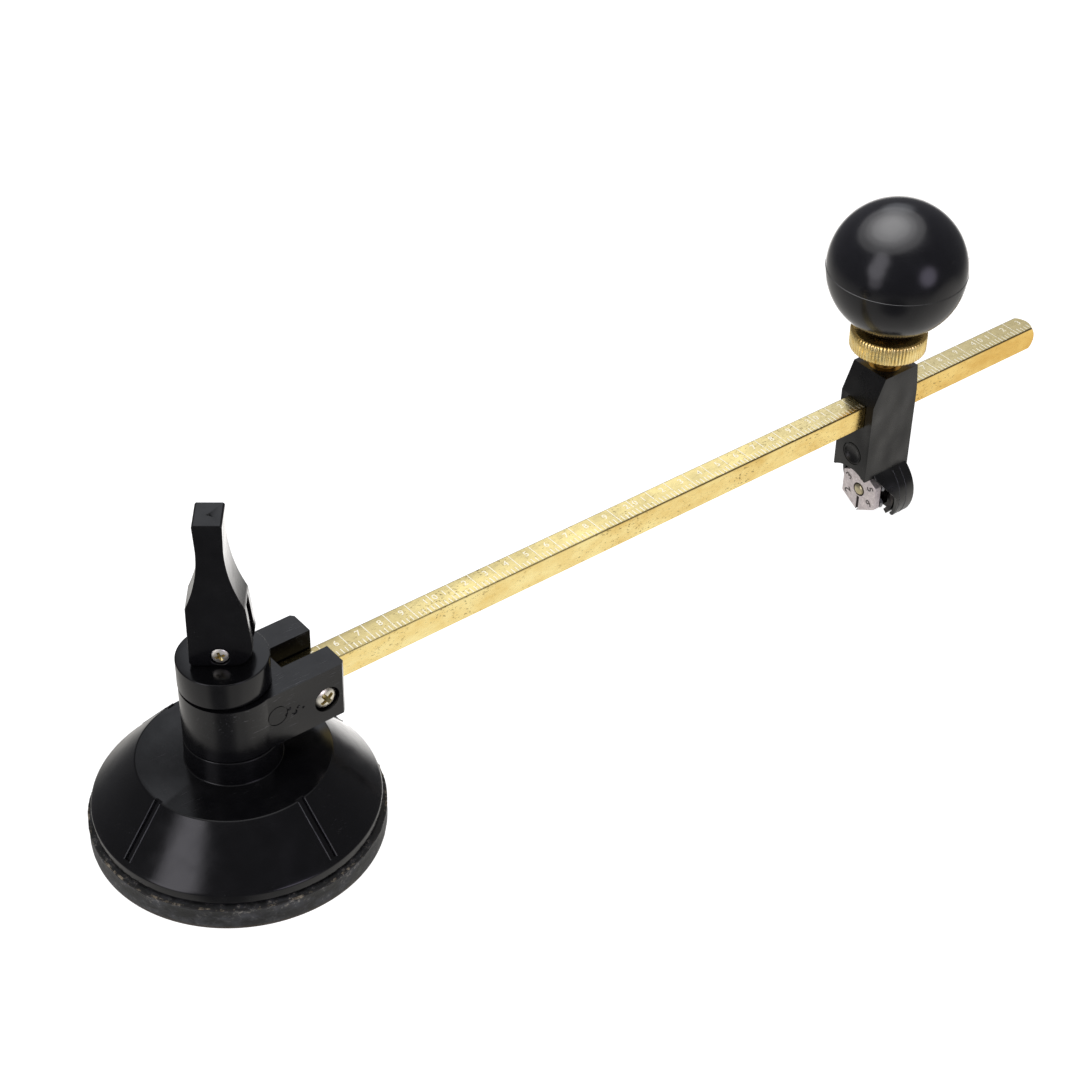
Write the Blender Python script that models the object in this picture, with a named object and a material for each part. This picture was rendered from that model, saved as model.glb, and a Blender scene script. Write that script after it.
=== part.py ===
"""Circular glass cutter: suction base with a cam lever, swivel arm, graduated bar, slider with a wheel turret.

Metres, +Z up. The origin is on the hub's axis, on the underside of the suction pad, and the bar runs along +X.
"""

import math

import bmesh
import bpy
from mathutils import Matrix, Vector

MM = 0.001
GAP = 0.3 * MM  # between pieces that touch or are pressed together
RUNNING = 0.06 * MM  # radial clearance of a shaft in its bore

# Suction pad and cup housing
PAD_RADIUS = 28.2 * MM
PAD_RIM_HEIGHT = 5.3 * MM
PAD_MEMBRANE = 3.0 * MM
PAD_BOSS_RADIUS = 9.5 * MM
PAD_BOSS_HEIGHT = 4.4 * MM
LIP_RADIUS = 27.3 * MM
LIP_HEIGHT = 2.4 * MM
LIP_WALL = 2.9 * MM
CONE_TOP_RADIUS = 18.4 * MM
CONE_TOP = 17.7 * MM
CONE_WALL = 2.4 * MM
BOSS_RADIUS = 9.15 * MM
BOSS_TOP = 23.1 * MM
POST_RADIUS = 6.4 * MM
SPIGOT_RADIUS = 4.7 * MM
SPIGOT_TOP = 39.0 * MM
GROOVES = 4
GROOVE_FIRST_DEG = 9.0
GROOVE_WIDTH = 1.5 * MM
GROOVE_DEPTH = 0.45 * MM

# Hub cap and pull stud: both sit a little to one side of the post, across the lever's width
LEVER_TURN_DEG = -37.0
HEAD_SHIFT = -0.64 * MM
CAP_RADIUS = 8.55 * MM
CAP_TOP = 41.4 * MM
STUD_RADIUS = 2.5 * MM
FOOT_RADIUS = 8.5 * MM
FOOT_THICK = 1.5 * MM
EYE_HALF_WIDTH = 2.1 * MM
EYE_HALF_THICK = 1.3 * MM
EYE_TOP_RADIUS = 2.45 * MM
EYE_LENGTH = 6.6 * MM  # from the pivot down to the round rod

# Cam lever: width along the lever's own X, thickness along its own Y, pivot at its own origin
PIVOT_Z = 43.7 * MM
LEVER_HALF_THICK = 3.4 * MM
LEVER_TOP_Z = 73.1 * MM
LEVER_LEAN = -0.4 * MM  # sideways, at the top
LEVER_SHOULDER_Z = 54.6 * MM
LEVER_BASE_HALF = 6.0 * MM
LEVER_BACK_HALF = 5.55 * MM
LEVER_SHOULDER_HALF = 5.3 * MM
LEVER_WAIST_HALF = 2.45 * MM
LEVER_WAIST_Z = 67.5 * MM
LEVER_TOP_HALF = 2.65 * MM
FORK_HALF = 1.65 * MM
FORK_TOP_Z = 54.2 * MM
FORK_BACK = 3.3 * MM
LEVER_SCREW_HEAD_RADIUS = 1.66 * MM
LEVER_SCREW_RADIUS = 1.0 * MM
LEVER_SCREW_SEAT = 0.9 * MM

# Swivel arm
ARM_BOTTOM = 23.4 * MM
ARM_TOP = 35.3 * MM
ARM_RING_RADIUS = 9.1 * MM
ARM_BORE_RADIUS = POST_RADIUS + RUNNING
JAW_END = 19.65 * MM
JAW_HALF_WIDTH = 8.65 * MM
SLOT_START = 9.6 * MM
SLOT_HALF_WIDTH = 2.85 * MM
ARM_SCREW_X = 15.5 * MM
ARM_SCREW_RADIUS = 1.5 * MM
ARM_SCREW_HEAD_RADIUS = 2.2 * MM
ARM_NUT_FLATS = 5.5 * MM

# Graduated bar
BAR_SIDE = 5.4 * MM
BAR_TOP = 31.2 * MM
BAR_START = 9.9 * MM
BAR_END = 211.8 * MM
BAR_DOME_RADIUS = 4.3 * MM
BAR_MID_Z = BAR_TOP - BAR_SIDE / 2

# Slider block
SLIDER_NEAR = 158.2 * MM  # face towards the hub
SLIDER_FAR = 171.2 * MM
SLIDER_TOP_NEAR = 161.0 * MM
SLIDER_TOP_FAR = 170.5 * MM
SLIDER_KNEE_Z = 31.8 * MM
SLIDER_TOP = 38.2 * MM
SLIDER_HALF_WIDTH = 4.85 * MM
SLIDER_CLEARANCE = 0.1 * MM
CLAMP_X = 165.5 * MM
INSERT_RADIUS = 3.6 * MM
INSERT_BORE = 2.5 * MM
INSERT_BOTTOM = 33.4 * MM

# Turret and its round housing at the slider's foot
TURRET_Z = 5.9 * MM
HOUSING_RADIUS = 8.5 * MM
HOUSING_BORE = 7.7 * MM
HOUSING_FLOOR = 167.2 * MM
HOUSING_BOTTOM = 1.2 * MM
TURRET_FACE = 162.0 * MM
TURRET_PLATE = 1.7 * MM
TURRET_CORNER_RADIUS = 5.7 * MM
TURRET_CORE_RADIUS = 2.5 * MM
BACK_PLATE_NEAR = 165.3 * MM
BACK_PLATE_FAR = 166.5 * MM
BACK_PLATE_CORNER_RADIUS = 5.4 * MM
PIN_RADIUS = 1.34 * MM
WHEELS = 6
WHEEL_RADIUS = 1.5 * MM
WHEEL_THICK = 1.0 * MM
WHEEL_ORBIT = 4.35 * MM
WHEEL_X = 164.5 * MM
AXLE_RADIUS = 0.5 * MM

# Clamp screw and ball grip
SCREW_RADIUS = 2.42 * MM
SCREW_TIP = 32.6 * MM
RING_RADIUS = 8.25 * MM
RING_BOTTOM = 42.3 * MM
RING_TOP = 47.2 * MM
BALL_RADIUS = 14.85 * MM
BALL_Z = 61.9 * MM
BALL_FOOT = 47.6 * MM
BUSH_RADIUS = 4.1 * MM
BUSH_TOP = 55.5 * MM
SPINDLE_RADIUS = 2.0 * MM
SPINDLE_HEAD_RADIUS = 3.5 * MM


def clear_scene():
    for obj in list(bpy.data.objects):
        bpy.data.objects.remove(obj, do_unlink=True)


def material(name, colour, roughness, metallic=0.0):
    found = bpy.data.materials.get(name)
    if found:
        return found
    made = bpy.data.materials.new(name)
    made.use_nodes = True
    shader = made.node_tree.nodes["Principled BSDF"]
    shader.inputs["Base Color"].default_value = (*colour, 1.0)
    shader.inputs["Roughness"].default_value = roughness
    shader.inputs["Metallic"].default_value = metallic
    return made


def black_plastic():
    return material("black_plastic", (0.012, 0.012, 0.014), 0.32)


def brass():
    return material("brass", (0.83, 0.63, 0.26), 0.3, 1.0)


def nickel():
    return material("nickel_steel", (0.72, 0.70, 0.66), 0.28, 1.0)


def dark_steel():
    return material("dark_steel", (0.05, 0.05, 0.055), 0.4, 1.0)


def body_from(name, bm, finish, smooth_deg=35.0):
    """Turns a bmesh into a named object with its normals facing out."""
    bm.normal_update()
    bmesh.ops.recalc_face_normals(bm, faces=bm.faces)
    if bm.calc_volume(signed=True) < 0:
        bmesh.ops.reverse_faces(bm, faces=bm.faces)
    mesh = bpy.data.meshes.new(name)
    bm.to_mesh(mesh)
    bm.free()
    mesh.shade_smooth()
    mesh.set_sharp_from_angle(angle=math.radians(smooth_deg))
    obj = bpy.data.objects.new(name, mesh)
    bpy.context.scene.collection.objects.link(obj)
    if finish:
        mesh.materials.append(finish)
    return obj


def turned_mesh(outline, segments, matrix=None):
    """A bmesh of an outline of (radius, height) turned about Z. It starts and ends on the axis, or is a ring."""
    bm = bmesh.new()
    rings = []
    for radius, height in outline:
        if radius == 0:
            rings.append([bm.verts.new((0, 0, height))])
            continue
        angles = [2 * math.pi * step / segments for step in range(segments)]
        rings.append([bm.verts.new((radius * math.cos(a), radius * math.sin(a), height)) for a in angles])
    closed = outline[0][0] != 0
    pairs = list(zip(rings, rings[1:]))
    if closed:
        pairs.append((rings[-1], rings[0]))
    for low, high in pairs:
        for step in range(segments):
            after = (step + 1) % segments
            corners = [low[step % len(low)], low[after % len(low)], high[after % len(high)], high[step % len(high)]]
            unique = list(dict.fromkeys(corners))
            if len(unique) > 2:
                bm.faces.new(unique)
    if matrix:
        bm.transform(matrix)
    return bm


def turned(name, outline, finish, segments=48, matrix=None):
    return body_from(name, turned_mesh(outline, segments, matrix), finish)


def prism_mesh(outline, low, high, matrix=None):
    """A bmesh of an outline of (x, y) points drawn up from low to high."""
    bm = bmesh.new()
    base = [bm.verts.new((x, y, low)) for x, y in outline]
    face = bm.faces.new(base)
    drawn = bmesh.ops.extrude_face_region(bm, geom=[face])
    moved = [item for item in drawn["geom"] if isinstance(item, bmesh.types.BMVert)]
    bmesh.ops.translate(bm, verts=moved, vec=(0, 0, high - low))
    if matrix:
        bm.transform(matrix)
    return bm


def prism(name, outline, low, high, finish, matrix=None):
    return body_from(name, prism_mesh(outline, low, high, matrix), finish, 25.0)


def rectangle(x0, x1, y0, y1):
    return [(x0, y0), (x1, y0), (x1, y1), (x0, y1)]


def polygon(sides, radius, first_deg=0.0):
    angles = [math.radians(first_deg) + 2 * math.pi * step / sides for step in range(sides)]
    return [(radius * math.cos(a), radius * math.sin(a)) for a in angles]


def along_x(x, y, z):
    """Stands a shape made along +Z so that it runs along +X from the given point."""
    return Matrix.Translation((x, y, z)) @ Matrix.Rotation(math.pi / 2, 4, "Y")


def along_minus_y(x, y, z):
    """Stands a shape made along +Z so that it runs along -Y from the given point."""
    return Matrix.Translation((x, y, z)) @ Matrix.Rotation(math.pi / 2, 4, "X")


def side_view():
    """Turns an outline of (x, z), drawn up along +Z, into a shape that spans Y."""
    return Matrix(((1, 0, 0, 0), (0, 0, -1, 0), (0, 1, 0, 0), (0, 0, 0, 1)))


def combine(obj, tool, operation):
    """Adds a Boolean by a hidden tool object, which is kept with the object."""
    tool.hide_render = True
    tool.display_type = "WIRE"
    tool.parent = obj
    tool.matrix_parent_inverse = obj.matrix_world.inverted()
    modifier = obj.modifiers.new(tool.name, "BOOLEAN")
    modifier.operation = operation
    modifier.object = tool
    modifier.solver = "EXACT"


def bevel(obj, width, angle_deg=50.0):
    modifier = obj.modifiers.new("edges", "BEVEL")
    modifier.width = width
    modifier.segments = 1
    modifier.limit_method = "ANGLE"
    modifier.angle_limit = math.radians(angle_deg)


def arc(centre, radius, start_deg, end_deg, steps):
    """Points (x, y) along an arc, both ends included."""
    points = []
    for step in range(steps + 1):
        angle = math.radians(start_deg + (end_deg - start_deg) * step / steps)
        points.append((centre[0] + radius * math.cos(angle), centre[1] + radius * math.sin(angle)))
    return points


def head_frame(height=0.0):
    """The axis that the cap, the stud and the lever's pivot share, beside the hub's own."""
    turn = math.radians(LEVER_TURN_DEG)
    return Matrix.Translation((HEAD_SHIFT * math.cos(turn), HEAD_SHIFT * math.sin(turn), height))


# Base ------------------------------------------------------------------------------------------------------


def suction_pad():
    edge = 0.5 * MM
    wall_inner = LIP_RADIUS - LIP_WALL - 1.2 * MM
    outline = [
        (0, 0),
        (PAD_RADIUS - edge, 0),
        (PAD_RADIUS, edge),
        (PAD_RADIUS, PAD_RIM_HEIGHT - edge),
        (PAD_RADIUS - edge, PAD_RIM_HEIGHT - 0.1 * MM),
        (LIP_RADIUS - 0.3 * MM, PAD_RIM_HEIGHT),
        (wall_inner + 0.8 * MM, PAD_RIM_HEIGHT),
        (wall_inner, PAD_RIM_HEIGHT - 0.6 * MM),
        (wall_inner - 0.8 * MM, PAD_MEMBRANE),
        (PAD_BOSS_RADIUS + 1.5 * MM, PAD_MEMBRANE),
        (PAD_BOSS_RADIUS, PAD_BOSS_HEIGHT),
        (0, PAD_BOSS_HEIGHT),
    ]
    return turned("suction_pad", outline, material("rubber", (0.035, 0.036, 0.038), 0.75), 72)


def cone_groove(number):
    """A cutter for one shallow channel that runs down the cone, from the edge of the flat top."""
    lip_top = PAD_RIM_HEIGHT + GAP + LIP_HEIGHT
    low = Vector((LIP_RADIUS, 0, lip_top))
    slope = low - Vector((CONE_TOP_RADIUS, 0, CONE_TOP))
    tilt = math.atan2(-slope.z, slope.x)
    length = slope.length - 0.7 * MM
    outline = rectangle(-2 * MM, length, -GROOVE_WIDTH / 2, GROOVE_WIDTH / 2)
    bm = prism_mesh(outline, -GROOVE_DEPTH, 3 * MM)
    turn = math.radians(GROOVE_FIRST_DEG + number * 360.0 / GROOVES)
    start = Matrix.Translation((CONE_TOP_RADIUS, 0, CONE_TOP)) @ Matrix.Rotation(tilt, 4, "Y")
    bm.transform(Matrix.Rotation(turn, 4, "Z") @ start)
    return body_from(f"groove_cutter_{number + 1}", bm, None)


def cup_housing():
    lip_bottom = PAD_RIM_HEIGHT + GAP
    lip_top = lip_bottom + LIP_HEIGHT
    ceiling = CONE_TOP - CONE_WALL
    outline = [
        (LIP_RADIUS - LIP_WALL, lip_bottom),
        (LIP_RADIUS - 0.1 * MM, lip_bottom),
        (LIP_RADIUS, lip_bottom + 0.2 * MM),
        (LIP_RADIUS, lip_top - 0.2 * MM),
        (LIP_RADIUS - 0.15 * MM, lip_top + 0.1 * MM),
        (CONE_TOP_RADIUS + 0.12 * MM, CONE_TOP - 0.12 * MM),
        (CONE_TOP_RADIUS - 0.1 * MM, CONE_TOP),
        (BOSS_RADIUS, CONE_TOP),
        (BOSS_RADIUS, BOSS_TOP),
        (POST_RADIUS, BOSS_TOP),
        (POST_RADIUS, ARM_TOP),
        (0, ARM_TOP),
        (0, ceiling),
        (CONE_TOP_RADIUS - 1.8 * MM, ceiling),
        (LIP_RADIUS - LIP_WALL, lip_top + 0.3 * MM),
    ]
    obj = turned("cup_housing", outline, black_plastic(), 72)
    spigot = [(0, CONE_TOP), (SPIGOT_RADIUS, CONE_TOP), (SPIGOT_RADIUS, SPIGOT_TOP), (0, SPIGOT_TOP)]
    combine(obj, turned("spigot_tool", spigot, None, 48, head_frame()), "UNION")
    radius = STUD_RADIUS + RUNNING
    bore = [(0, MM), (radius, MM), (radius, SPIGOT_TOP + MM), (0, SPIGOT_TOP + MM)]
    combine(obj, turned("stud_bore_cutter", bore, None, 32, head_frame()), "DIFFERENCE")
    for number in range(GROOVES):
        combine(obj, cone_groove(number), "DIFFERENCE")
    return obj


def hub_cap():
    bottom = ARM_TOP + GAP
    edge = 0.35 * MM
    outline = [
        (CAP_RADIUS, bottom),
        (CAP_RADIUS, CAP_TOP - edge),
        (CAP_RADIUS - edge, CAP_TOP),
        (STUD_RADIUS + RUNNING, CAP_TOP),
        (STUD_RADIUS + RUNNING, SPIGOT_TOP + GAP),
        (SPIGOT_RADIUS + GAP, SPIGOT_TOP + GAP),
        (SPIGOT_RADIUS + GAP, bottom),
    ]
    return turned("hub_cap", outline, black_plastic(), 48, head_frame())


# Pull stud and cam lever -----------------------------------------------------------------------------------


def lever_frame():
    """Places the lever's own axes: X across its width, Y along the pivot, Z up, origin on the pivot."""
    return head_frame(PIVOT_Z) @ Matrix.Rotation(math.radians(LEVER_TURN_DEG), 4, "Z")


def lever_profile():
    """Turns an outline of (width, height) about the pivot, drawn along +Z, into a shape that spans its own Y."""
    return lever_frame() @ side_view()


def pull_stud():
    foot = PAD_BOSS_HEIGHT + GAP
    outline = [
        (0, foot),
        (FOOT_RADIUS - 0.2 * MM, foot),
        (FOOT_RADIUS, foot + 0.2 * MM),
        (FOOT_RADIUS, foot + FOOT_THICK),
        (STUD_RADIUS, foot + FOOT_THICK + 0.6 * MM),
        (STUD_RADIUS, PIVOT_Z - EYE_LENGTH),
        (0, PIVOT_Z - EYE_LENGTH),
    ]
    obj = turned("pull_stud", outline, nickel(), 48, head_frame())
    eye = [(-EYE_HALF_WIDTH, -EYE_LENGTH - MM), (EYE_HALF_WIDTH, -EYE_LENGTH - MM)]
    eye += arc((0, 0), EYE_TOP_RADIUS, 30, 150, 10)
    blade = prism("stud_eye_tool", eye, -EYE_HALF_THICK, EYE_HALF_THICK, None, lever_profile())
    combine(obj, blade, "UNION")
    hole = turned_mesh([(0, -5 * MM), (LEVER_SCREW_RADIUS + RUNNING, -5 * MM),
                        (LEVER_SCREW_RADIUS + RUNNING, 5 * MM), (0, 5 * MM)], 24, lever_profile())
    combine(obj, body_from("stud_hole_cutter", hole, None), "DIFFERENCE")
    return obj


def cam_curve(steps=10):
    """The cam's corner: its reach from the pivot grows evenly as the lever folds over by 90 degrees."""
    base = PIVOT_Z - CAP_TOP - GAP
    growth = (LEVER_BASE_HALF - base) / (math.pi / 2)
    points = []
    for step in range(steps + 1):
        turn = math.pi / 2 * step / steps
        reach = base + growth * turn
        across = reach * math.sin(turn) + growth * math.cos(turn)
        up = -reach * math.cos(turn) + growth * math.sin(turn)
        points.append((across, up))
    return points


def lever_side(sign, steps=8):
    """One side of the bottle outline above the shoulder, from the shoulder up to the top."""
    shoulder = LEVER_SHOULDER_Z - PIVOT_Z
    waist = LEVER_WAIST_Z - PIVOT_Z
    top = LEVER_TOP_Z - PIVOT_Z
    points = [(sign * LEVER_SHOULDER_HALF, shoulder)]
    for step in range(1, steps + 1):
        part = step / steps
        ease = 1 - (1 - part) ** 2.1
        across = LEVER_SHOULDER_HALF + (LEVER_WAIST_HALF - LEVER_SHOULDER_HALF) * ease
        points.append((sign * across, shoulder + (waist - shoulder) * part))
    points.append((sign * LEVER_TOP_HALF, top - 0.4 * MM))
    points.append((sign * (LEVER_TOP_HALF - 0.3 * MM), top))
    return [(x + LEVER_LEAN * z / top, z) for x, z in points]


def cam_lever():
    base = PIVOT_Z - CAP_TOP - GAP
    outline = cam_curve() + lever_side(1) + lever_side(-1)[::-1]
    outline += [(-LEVER_BACK_HALF, -base + 0.6 * MM), (-LEVER_BACK_HALF + 0.4 * MM, -base)]
    obj = prism("cam_lever", outline, -LEVER_HALF_THICK, LEVER_HALF_THICK, black_plastic(), lever_profile())
    bevel(obj, 0.2 * MM)
    fork = rectangle(-FORK_BACK, 9 * MM, -6 * MM, FORK_TOP_Z - PIVOT_Z)
    combine(obj, prism("fork_cutter", fork, -FORK_HALF, FORK_HALF, None, lever_profile()), "DIFFERENCE")
    bore = LEVER_SCREW_RADIUS + RUNNING
    seat = LEVER_SCREW_HEAD_RADIUS + 0.14 * MM
    face = LEVER_HALF_THICK + 1 * MM
    seat_floor = LEVER_HALF_THICK - LEVER_SCREW_SEAT
    end = -LEVER_HALF_THICK + 0.4 * MM
    outline = [(0, end), (bore, end), (bore, seat_floor), (seat, seat_floor), (seat, face), (0, face)]
    combine(obj, turned("lever_bore_cutter", outline, None, 24, lever_profile()), "DIFFERENCE")
    return obj


def cross_recess(name, radius, depth, matrix):
    """A tapered cross for a screwdriver, sunk from z = 0 down, in the frame that the matrix gives."""
    bm = bmesh.new()
    arm = radius * 0.3
    outline = [
        (arm, radius), (arm, arm), (radius, arm), (radius, -arm), (arm, -arm), (arm, -radius),
        (-arm, -radius), (-arm, -arm), (-radius, -arm), (-radius, arm), (-arm, arm), (-arm, radius),
    ]
    top = [bm.verts.new((x, y, 0.5 * MM)) for x, y in outline]
    low = [bm.verts.new((x * 0.45, y * 0.45, -depth)) for x, y in outline]
    bm.faces.new(top)
    bm.faces.new(low[::-1])
    for step in range(len(outline)):
        after = (step + 1) % len(outline)
        bm.faces.new([top[step], low[step], low[after], top[after]])
    bm.transform(matrix)
    return body_from(name, bm, None)


def screw_mesh(head_radius, head_height, shank_radius, length):
    """A pan-head screw whose head's underside is at z = 0, with the shank below."""
    outline = [
        (0, -length),
        (shank_radius - 0.2 * MM, -length),
        (shank_radius, -length + 0.3 * MM),
        (shank_radius, 0),
        (head_radius, 0),
        (head_radius, head_height * 0.45),
        (head_radius * 0.85, head_height * 0.85),
        (head_radius * 0.5, head_height),
        (0, head_height),
    ]
    return turned_mesh(outline, 24)


def lever_screw():
    """It goes in from the lever's front, through the stud's eye, and bites in the far cheek."""
    seat = LEVER_HALF_THICK - LEVER_SCREW_SEAT + 0.05 * MM
    place = lever_profile() @ Matrix.Translation((0, 0, seat))
    length = 2 * LEVER_HALF_THICK - LEVER_SCREW_SEAT - 0.6 * MM
    bm = screw_mesh(LEVER_SCREW_HEAD_RADIUS, 0.8 * MM, LEVER_SCREW_RADIUS, length)
    bm.transform(place)
    obj = body_from("lever_screw", bm, nickel())
    tip = place @ Matrix.Translation((0, 0, 0.8 * MM)) @ Matrix.Rotation(math.radians(20), 4, "Z")
    combine(obj, cross_recess("lever_screw_recess", 1.05 * MM, 0.6 * MM, tip), "DIFFERENCE")
    return obj


def hex_nut(name, flats, bore, low, high, matrix):
    obj = prism(name, polygon(6, flats / 2 / math.cos(math.pi / 6), 30), low, high, nickel(), matrix)
    hole = turned_mesh([(0, low - MM), (bore, low - MM), (bore, high + MM), (0, high + MM)], 24, matrix)
    combine(obj, body_from(name + "_bore", hole, None), "DIFFERENCE")
    return obj


# Swivel arm and bar ----------------------------------------------------------------------------------------


def swivel_arm():
    side = JAW_HALF_WIDTH
    corner = 0.7 * MM
    half_round = arc((0, 0), ARM_RING_RADIUS, 72, 288, 36)
    outline = half_round + [(JAW_END - corner, -side), (JAW_END, -side + corner),
                            (JAW_END, side - corner), (JAW_END - corner, side)]
    obj = prism("swivel_arm", outline, ARM_BOTTOM, ARM_TOP, black_plastic())
    bevel(obj, 0.25 * MM, 60)
    bore = turned_mesh([(0, 0), (ARM_BORE_RADIUS, 0), (ARM_BORE_RADIUS, 60 * MM), (0, 60 * MM)], 72)
    combine(obj, body_from("arm_bore_cutter", bore, None), "DIFFERENCE")
    slot = rectangle(SLOT_START, JAW_END + MM, -SLOT_HALF_WIDTH, SLOT_HALF_WIDTH)
    floor = BAR_TOP - BAR_SIDE - GAP
    combine(obj, prism("bar_slot_cutter", slot, floor, ARM_TOP + MM, None), "DIFFERENCE")
    bore = ARM_SCREW_RADIUS + 0.1 * MM
    seat = ARM_SCREW_HEAD_RADIUS + 0.35 * MM
    seat_floor = JAW_HALF_WIDTH - 1.5 * MM
    face = JAW_HALF_WIDTH + MM
    outline = [(0, -face), (bore, -face), (bore, seat_floor), (seat, seat_floor), (seat, face), (0, face)]
    place = along_minus_y(ARM_SCREW_X, 0, BAR_MID_Z)
    combine(obj, turned("arm_screw_cutter", outline, None, 24, place), "DIFFERENCE")
    recess = polygon(6, (ARM_NUT_FLATS / 2 + 0.15 * MM) / math.cos(math.pi / 6), 30)
    nut_floor = -JAW_HALF_WIDTH + 2.2 * MM
    combine(obj, prism("arm_nut_cutter", recess, -face, nut_floor, None, place), "DIFFERENCE")
    return obj


def arm_screw():
    place = along_minus_y(ARM_SCREW_X, 0, BAR_MID_Z) @ Matrix.Translation((0, 0, JAW_HALF_WIDTH - 1.4 * MM))
    bm = screw_mesh(ARM_SCREW_HEAD_RADIUS, 1.35 * MM, ARM_SCREW_RADIUS, 2 * JAW_HALF_WIDTH - 1.6 * MM)
    bm.transform(place)
    obj = body_from("arm_screw", bm, nickel())
    tip = place @ Matrix.Translation((0, 0, 1.35 * MM)) @ Matrix.Rotation(math.radians(35), 4, "Z")
    combine(obj, cross_recess("arm_screw_recess", 1.35 * MM, 0.9 * MM, tip), "DIFFERENCE")
    return obj


def arm_nut():
    floor = -JAW_HALF_WIDTH + 2.2 * MM
    place = along_minus_y(ARM_SCREW_X, 0, BAR_MID_Z)
    bore = ARM_SCREW_RADIUS + RUNNING
    return hex_nut("arm_nut", ARM_NUT_FLATS, bore, floor - 2.1 * MM, floor - 0.1 * MM, place)


def graduated_bar():
    half = BAR_SIDE / 2
    edge = 0.2 * MM
    outline = [
        (-half, -half + edge), (-half + edge, -half), (half - edge, -half), (half, -half + edge),
        (half, half - edge), (half - edge, half), (-half + edge, half), (-half, half - edge),
    ]
    obj = prism("graduated_bar", outline, BAR_START, BAR_END + MM, brass(), along_x(0, 0, BAR_MID_Z))
    centre = BAR_END - BAR_DOME_RADIUS
    dome = [(0, BAR_START - MM), (BAR_DOME_RADIUS, BAR_START - MM), (BAR_DOME_RADIUS, centre)]
    for step in range(1, 8):
        angle = math.pi / 2 * step / 8
        dome.append((BAR_DOME_RADIUS * math.cos(angle), centre + BAR_DOME_RADIUS * math.sin(angle)))
    dome.append((0, BAR_END))
    combine(obj, turned("bar_dome_tool", dome, None, 32, along_x(0, 0, BAR_MID_Z)), "INTERSECT")
    bore = ARM_SCREW_RADIUS + 0.1 * MM
    hole = [(0, -5 * MM), (bore, -5 * MM), (bore, 5 * MM), (0, 5 * MM)]
    place = along_minus_y(ARM_SCREW_X, 0, BAR_MID_Z)
    combine(obj, turned("bar_hole_cutter", hole, None, 24, place), "DIFFERENCE")
    return obj


# Slider ----------------------------------------------------------------------------------------------------


def turret_axis(x=0.0):
    """Stands a shape made along +Z on the turret's axis, running along +X."""
    return along_x(x, 0, TURRET_Z)


def slider_block():
    foot = TURRET_Z + 4.0 * MM
    outline = [
        (SLIDER_NEAR, foot), (SLIDER_FAR, foot), (SLIDER_FAR, SLIDER_KNEE_Z), (SLIDER_TOP_FAR, SLIDER_TOP),
        (SLIDER_TOP_NEAR, SLIDER_TOP), (SLIDER_NEAR, SLIDER_KNEE_Z),
    ]
    obj = prism("slider_block", outline, -SLIDER_HALF_WIDTH, SLIDER_HALF_WIDTH,
                material("slider_plastic", (0.022, 0.022, 0.022), 0.42), side_view())
    bevel(obj, 0.4 * MM, 20)
    start = SLIDER_TOP_NEAR
    round_foot = [(0, start), (HOUSING_RADIUS, start), (HOUSING_RADIUS, SLIDER_FAR - 0.9 * MM),
                  (HOUSING_RADIUS - 0.5 * MM, SLIDER_FAR - 0.25 * MM), (0, SLIDER_FAR - 0.25 * MM)]
    combine(obj, turned("housing_tool", round_foot, None, 64, turret_axis()), "UNION")
    near = SLIDER_NEAR - 5 * MM
    flank = [(near, 12.2 * MM), (160.8 * MM, 12.2 * MM), (165.2 * MM, 6.8 * MM),
             (166.0 * MM, 1.0 * MM), (166.0 * MM, -6 * MM), (near, -6 * MM)]
    combine(obj, prism("flank_cutter", flank, -12 * MM, 12 * MM, None, side_view()), "DIFFERENCE")
    pocket = [(0, near), (HOUSING_BORE, near), (HOUSING_BORE, HOUSING_FLOOR), (0, HOUSING_FLOOR)]
    combine(obj, turned("turret_pocket_cutter", pocket, None, 64, turret_axis()), "DIFFERENCE")
    below = rectangle(near, SLIDER_FAR + 5 * MM, -12 * MM, 12 * MM)
    combine(obj, prism("underside_cutter", below, -6 * MM, HOUSING_BOTTOM, None), "DIFFERENCE")
    half = BAR_SIDE / 2 + SLIDER_CLEARANCE
    passage = rectangle(-half, half, -half, half)
    bar_way = along_x(0, 0, BAR_MID_Z)
    far = SLIDER_FAR + 5 * MM
    combine(obj, prism("bar_passage_cutter", passage, near, far, None, bar_way), "DIFFERENCE")
    throat = INSERT_BORE + 0.1 * MM
    seat = INSERT_RADIUS + 0.05 * MM
    bottom = INSERT_BOTTOM - 0.1 * MM
    well = [(0, BAR_MID_Z), (throat, BAR_MID_Z), (throat, bottom), (seat, bottom), (seat, 50 * MM), (0, 50 * MM)]
    place = Matrix.Translation((CLAMP_X, 0, 0))
    combine(obj, turned("insert_seat_cutter", well, None, 32, place), "DIFFERENCE")
    bore = PIN_RADIUS + RUNNING
    hole = [(0, near), (bore, near), (bore, far), (0, far)]
    combine(obj, turned("pin_bore_cutter", hole, None, 24, turret_axis()), "DIFFERENCE")
    return obj


def threaded_insert():
    outline = [(INSERT_RADIUS, INSERT_BOTTOM), (INSERT_RADIUS, SLIDER_TOP), (INSERT_BORE, SLIDER_TOP),
               (INSERT_BORE, INSERT_BOTTOM)]
    return turned("threaded_insert", outline, brass(), 32, Matrix.Translation((CLAMP_X, 0, 0)))


def pressure_shoe():
    bottom = BAR_TOP + GAP
    top = SCREW_TIP - GAP
    radius = INSERT_BORE - 0.15 * MM
    outline = [(0, bottom), (radius, bottom), (radius, top), (0, top)]
    return turned("pressure_shoe", outline, brass(), 32, Matrix.Translation((CLAMP_X, 0, 0)))


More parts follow.
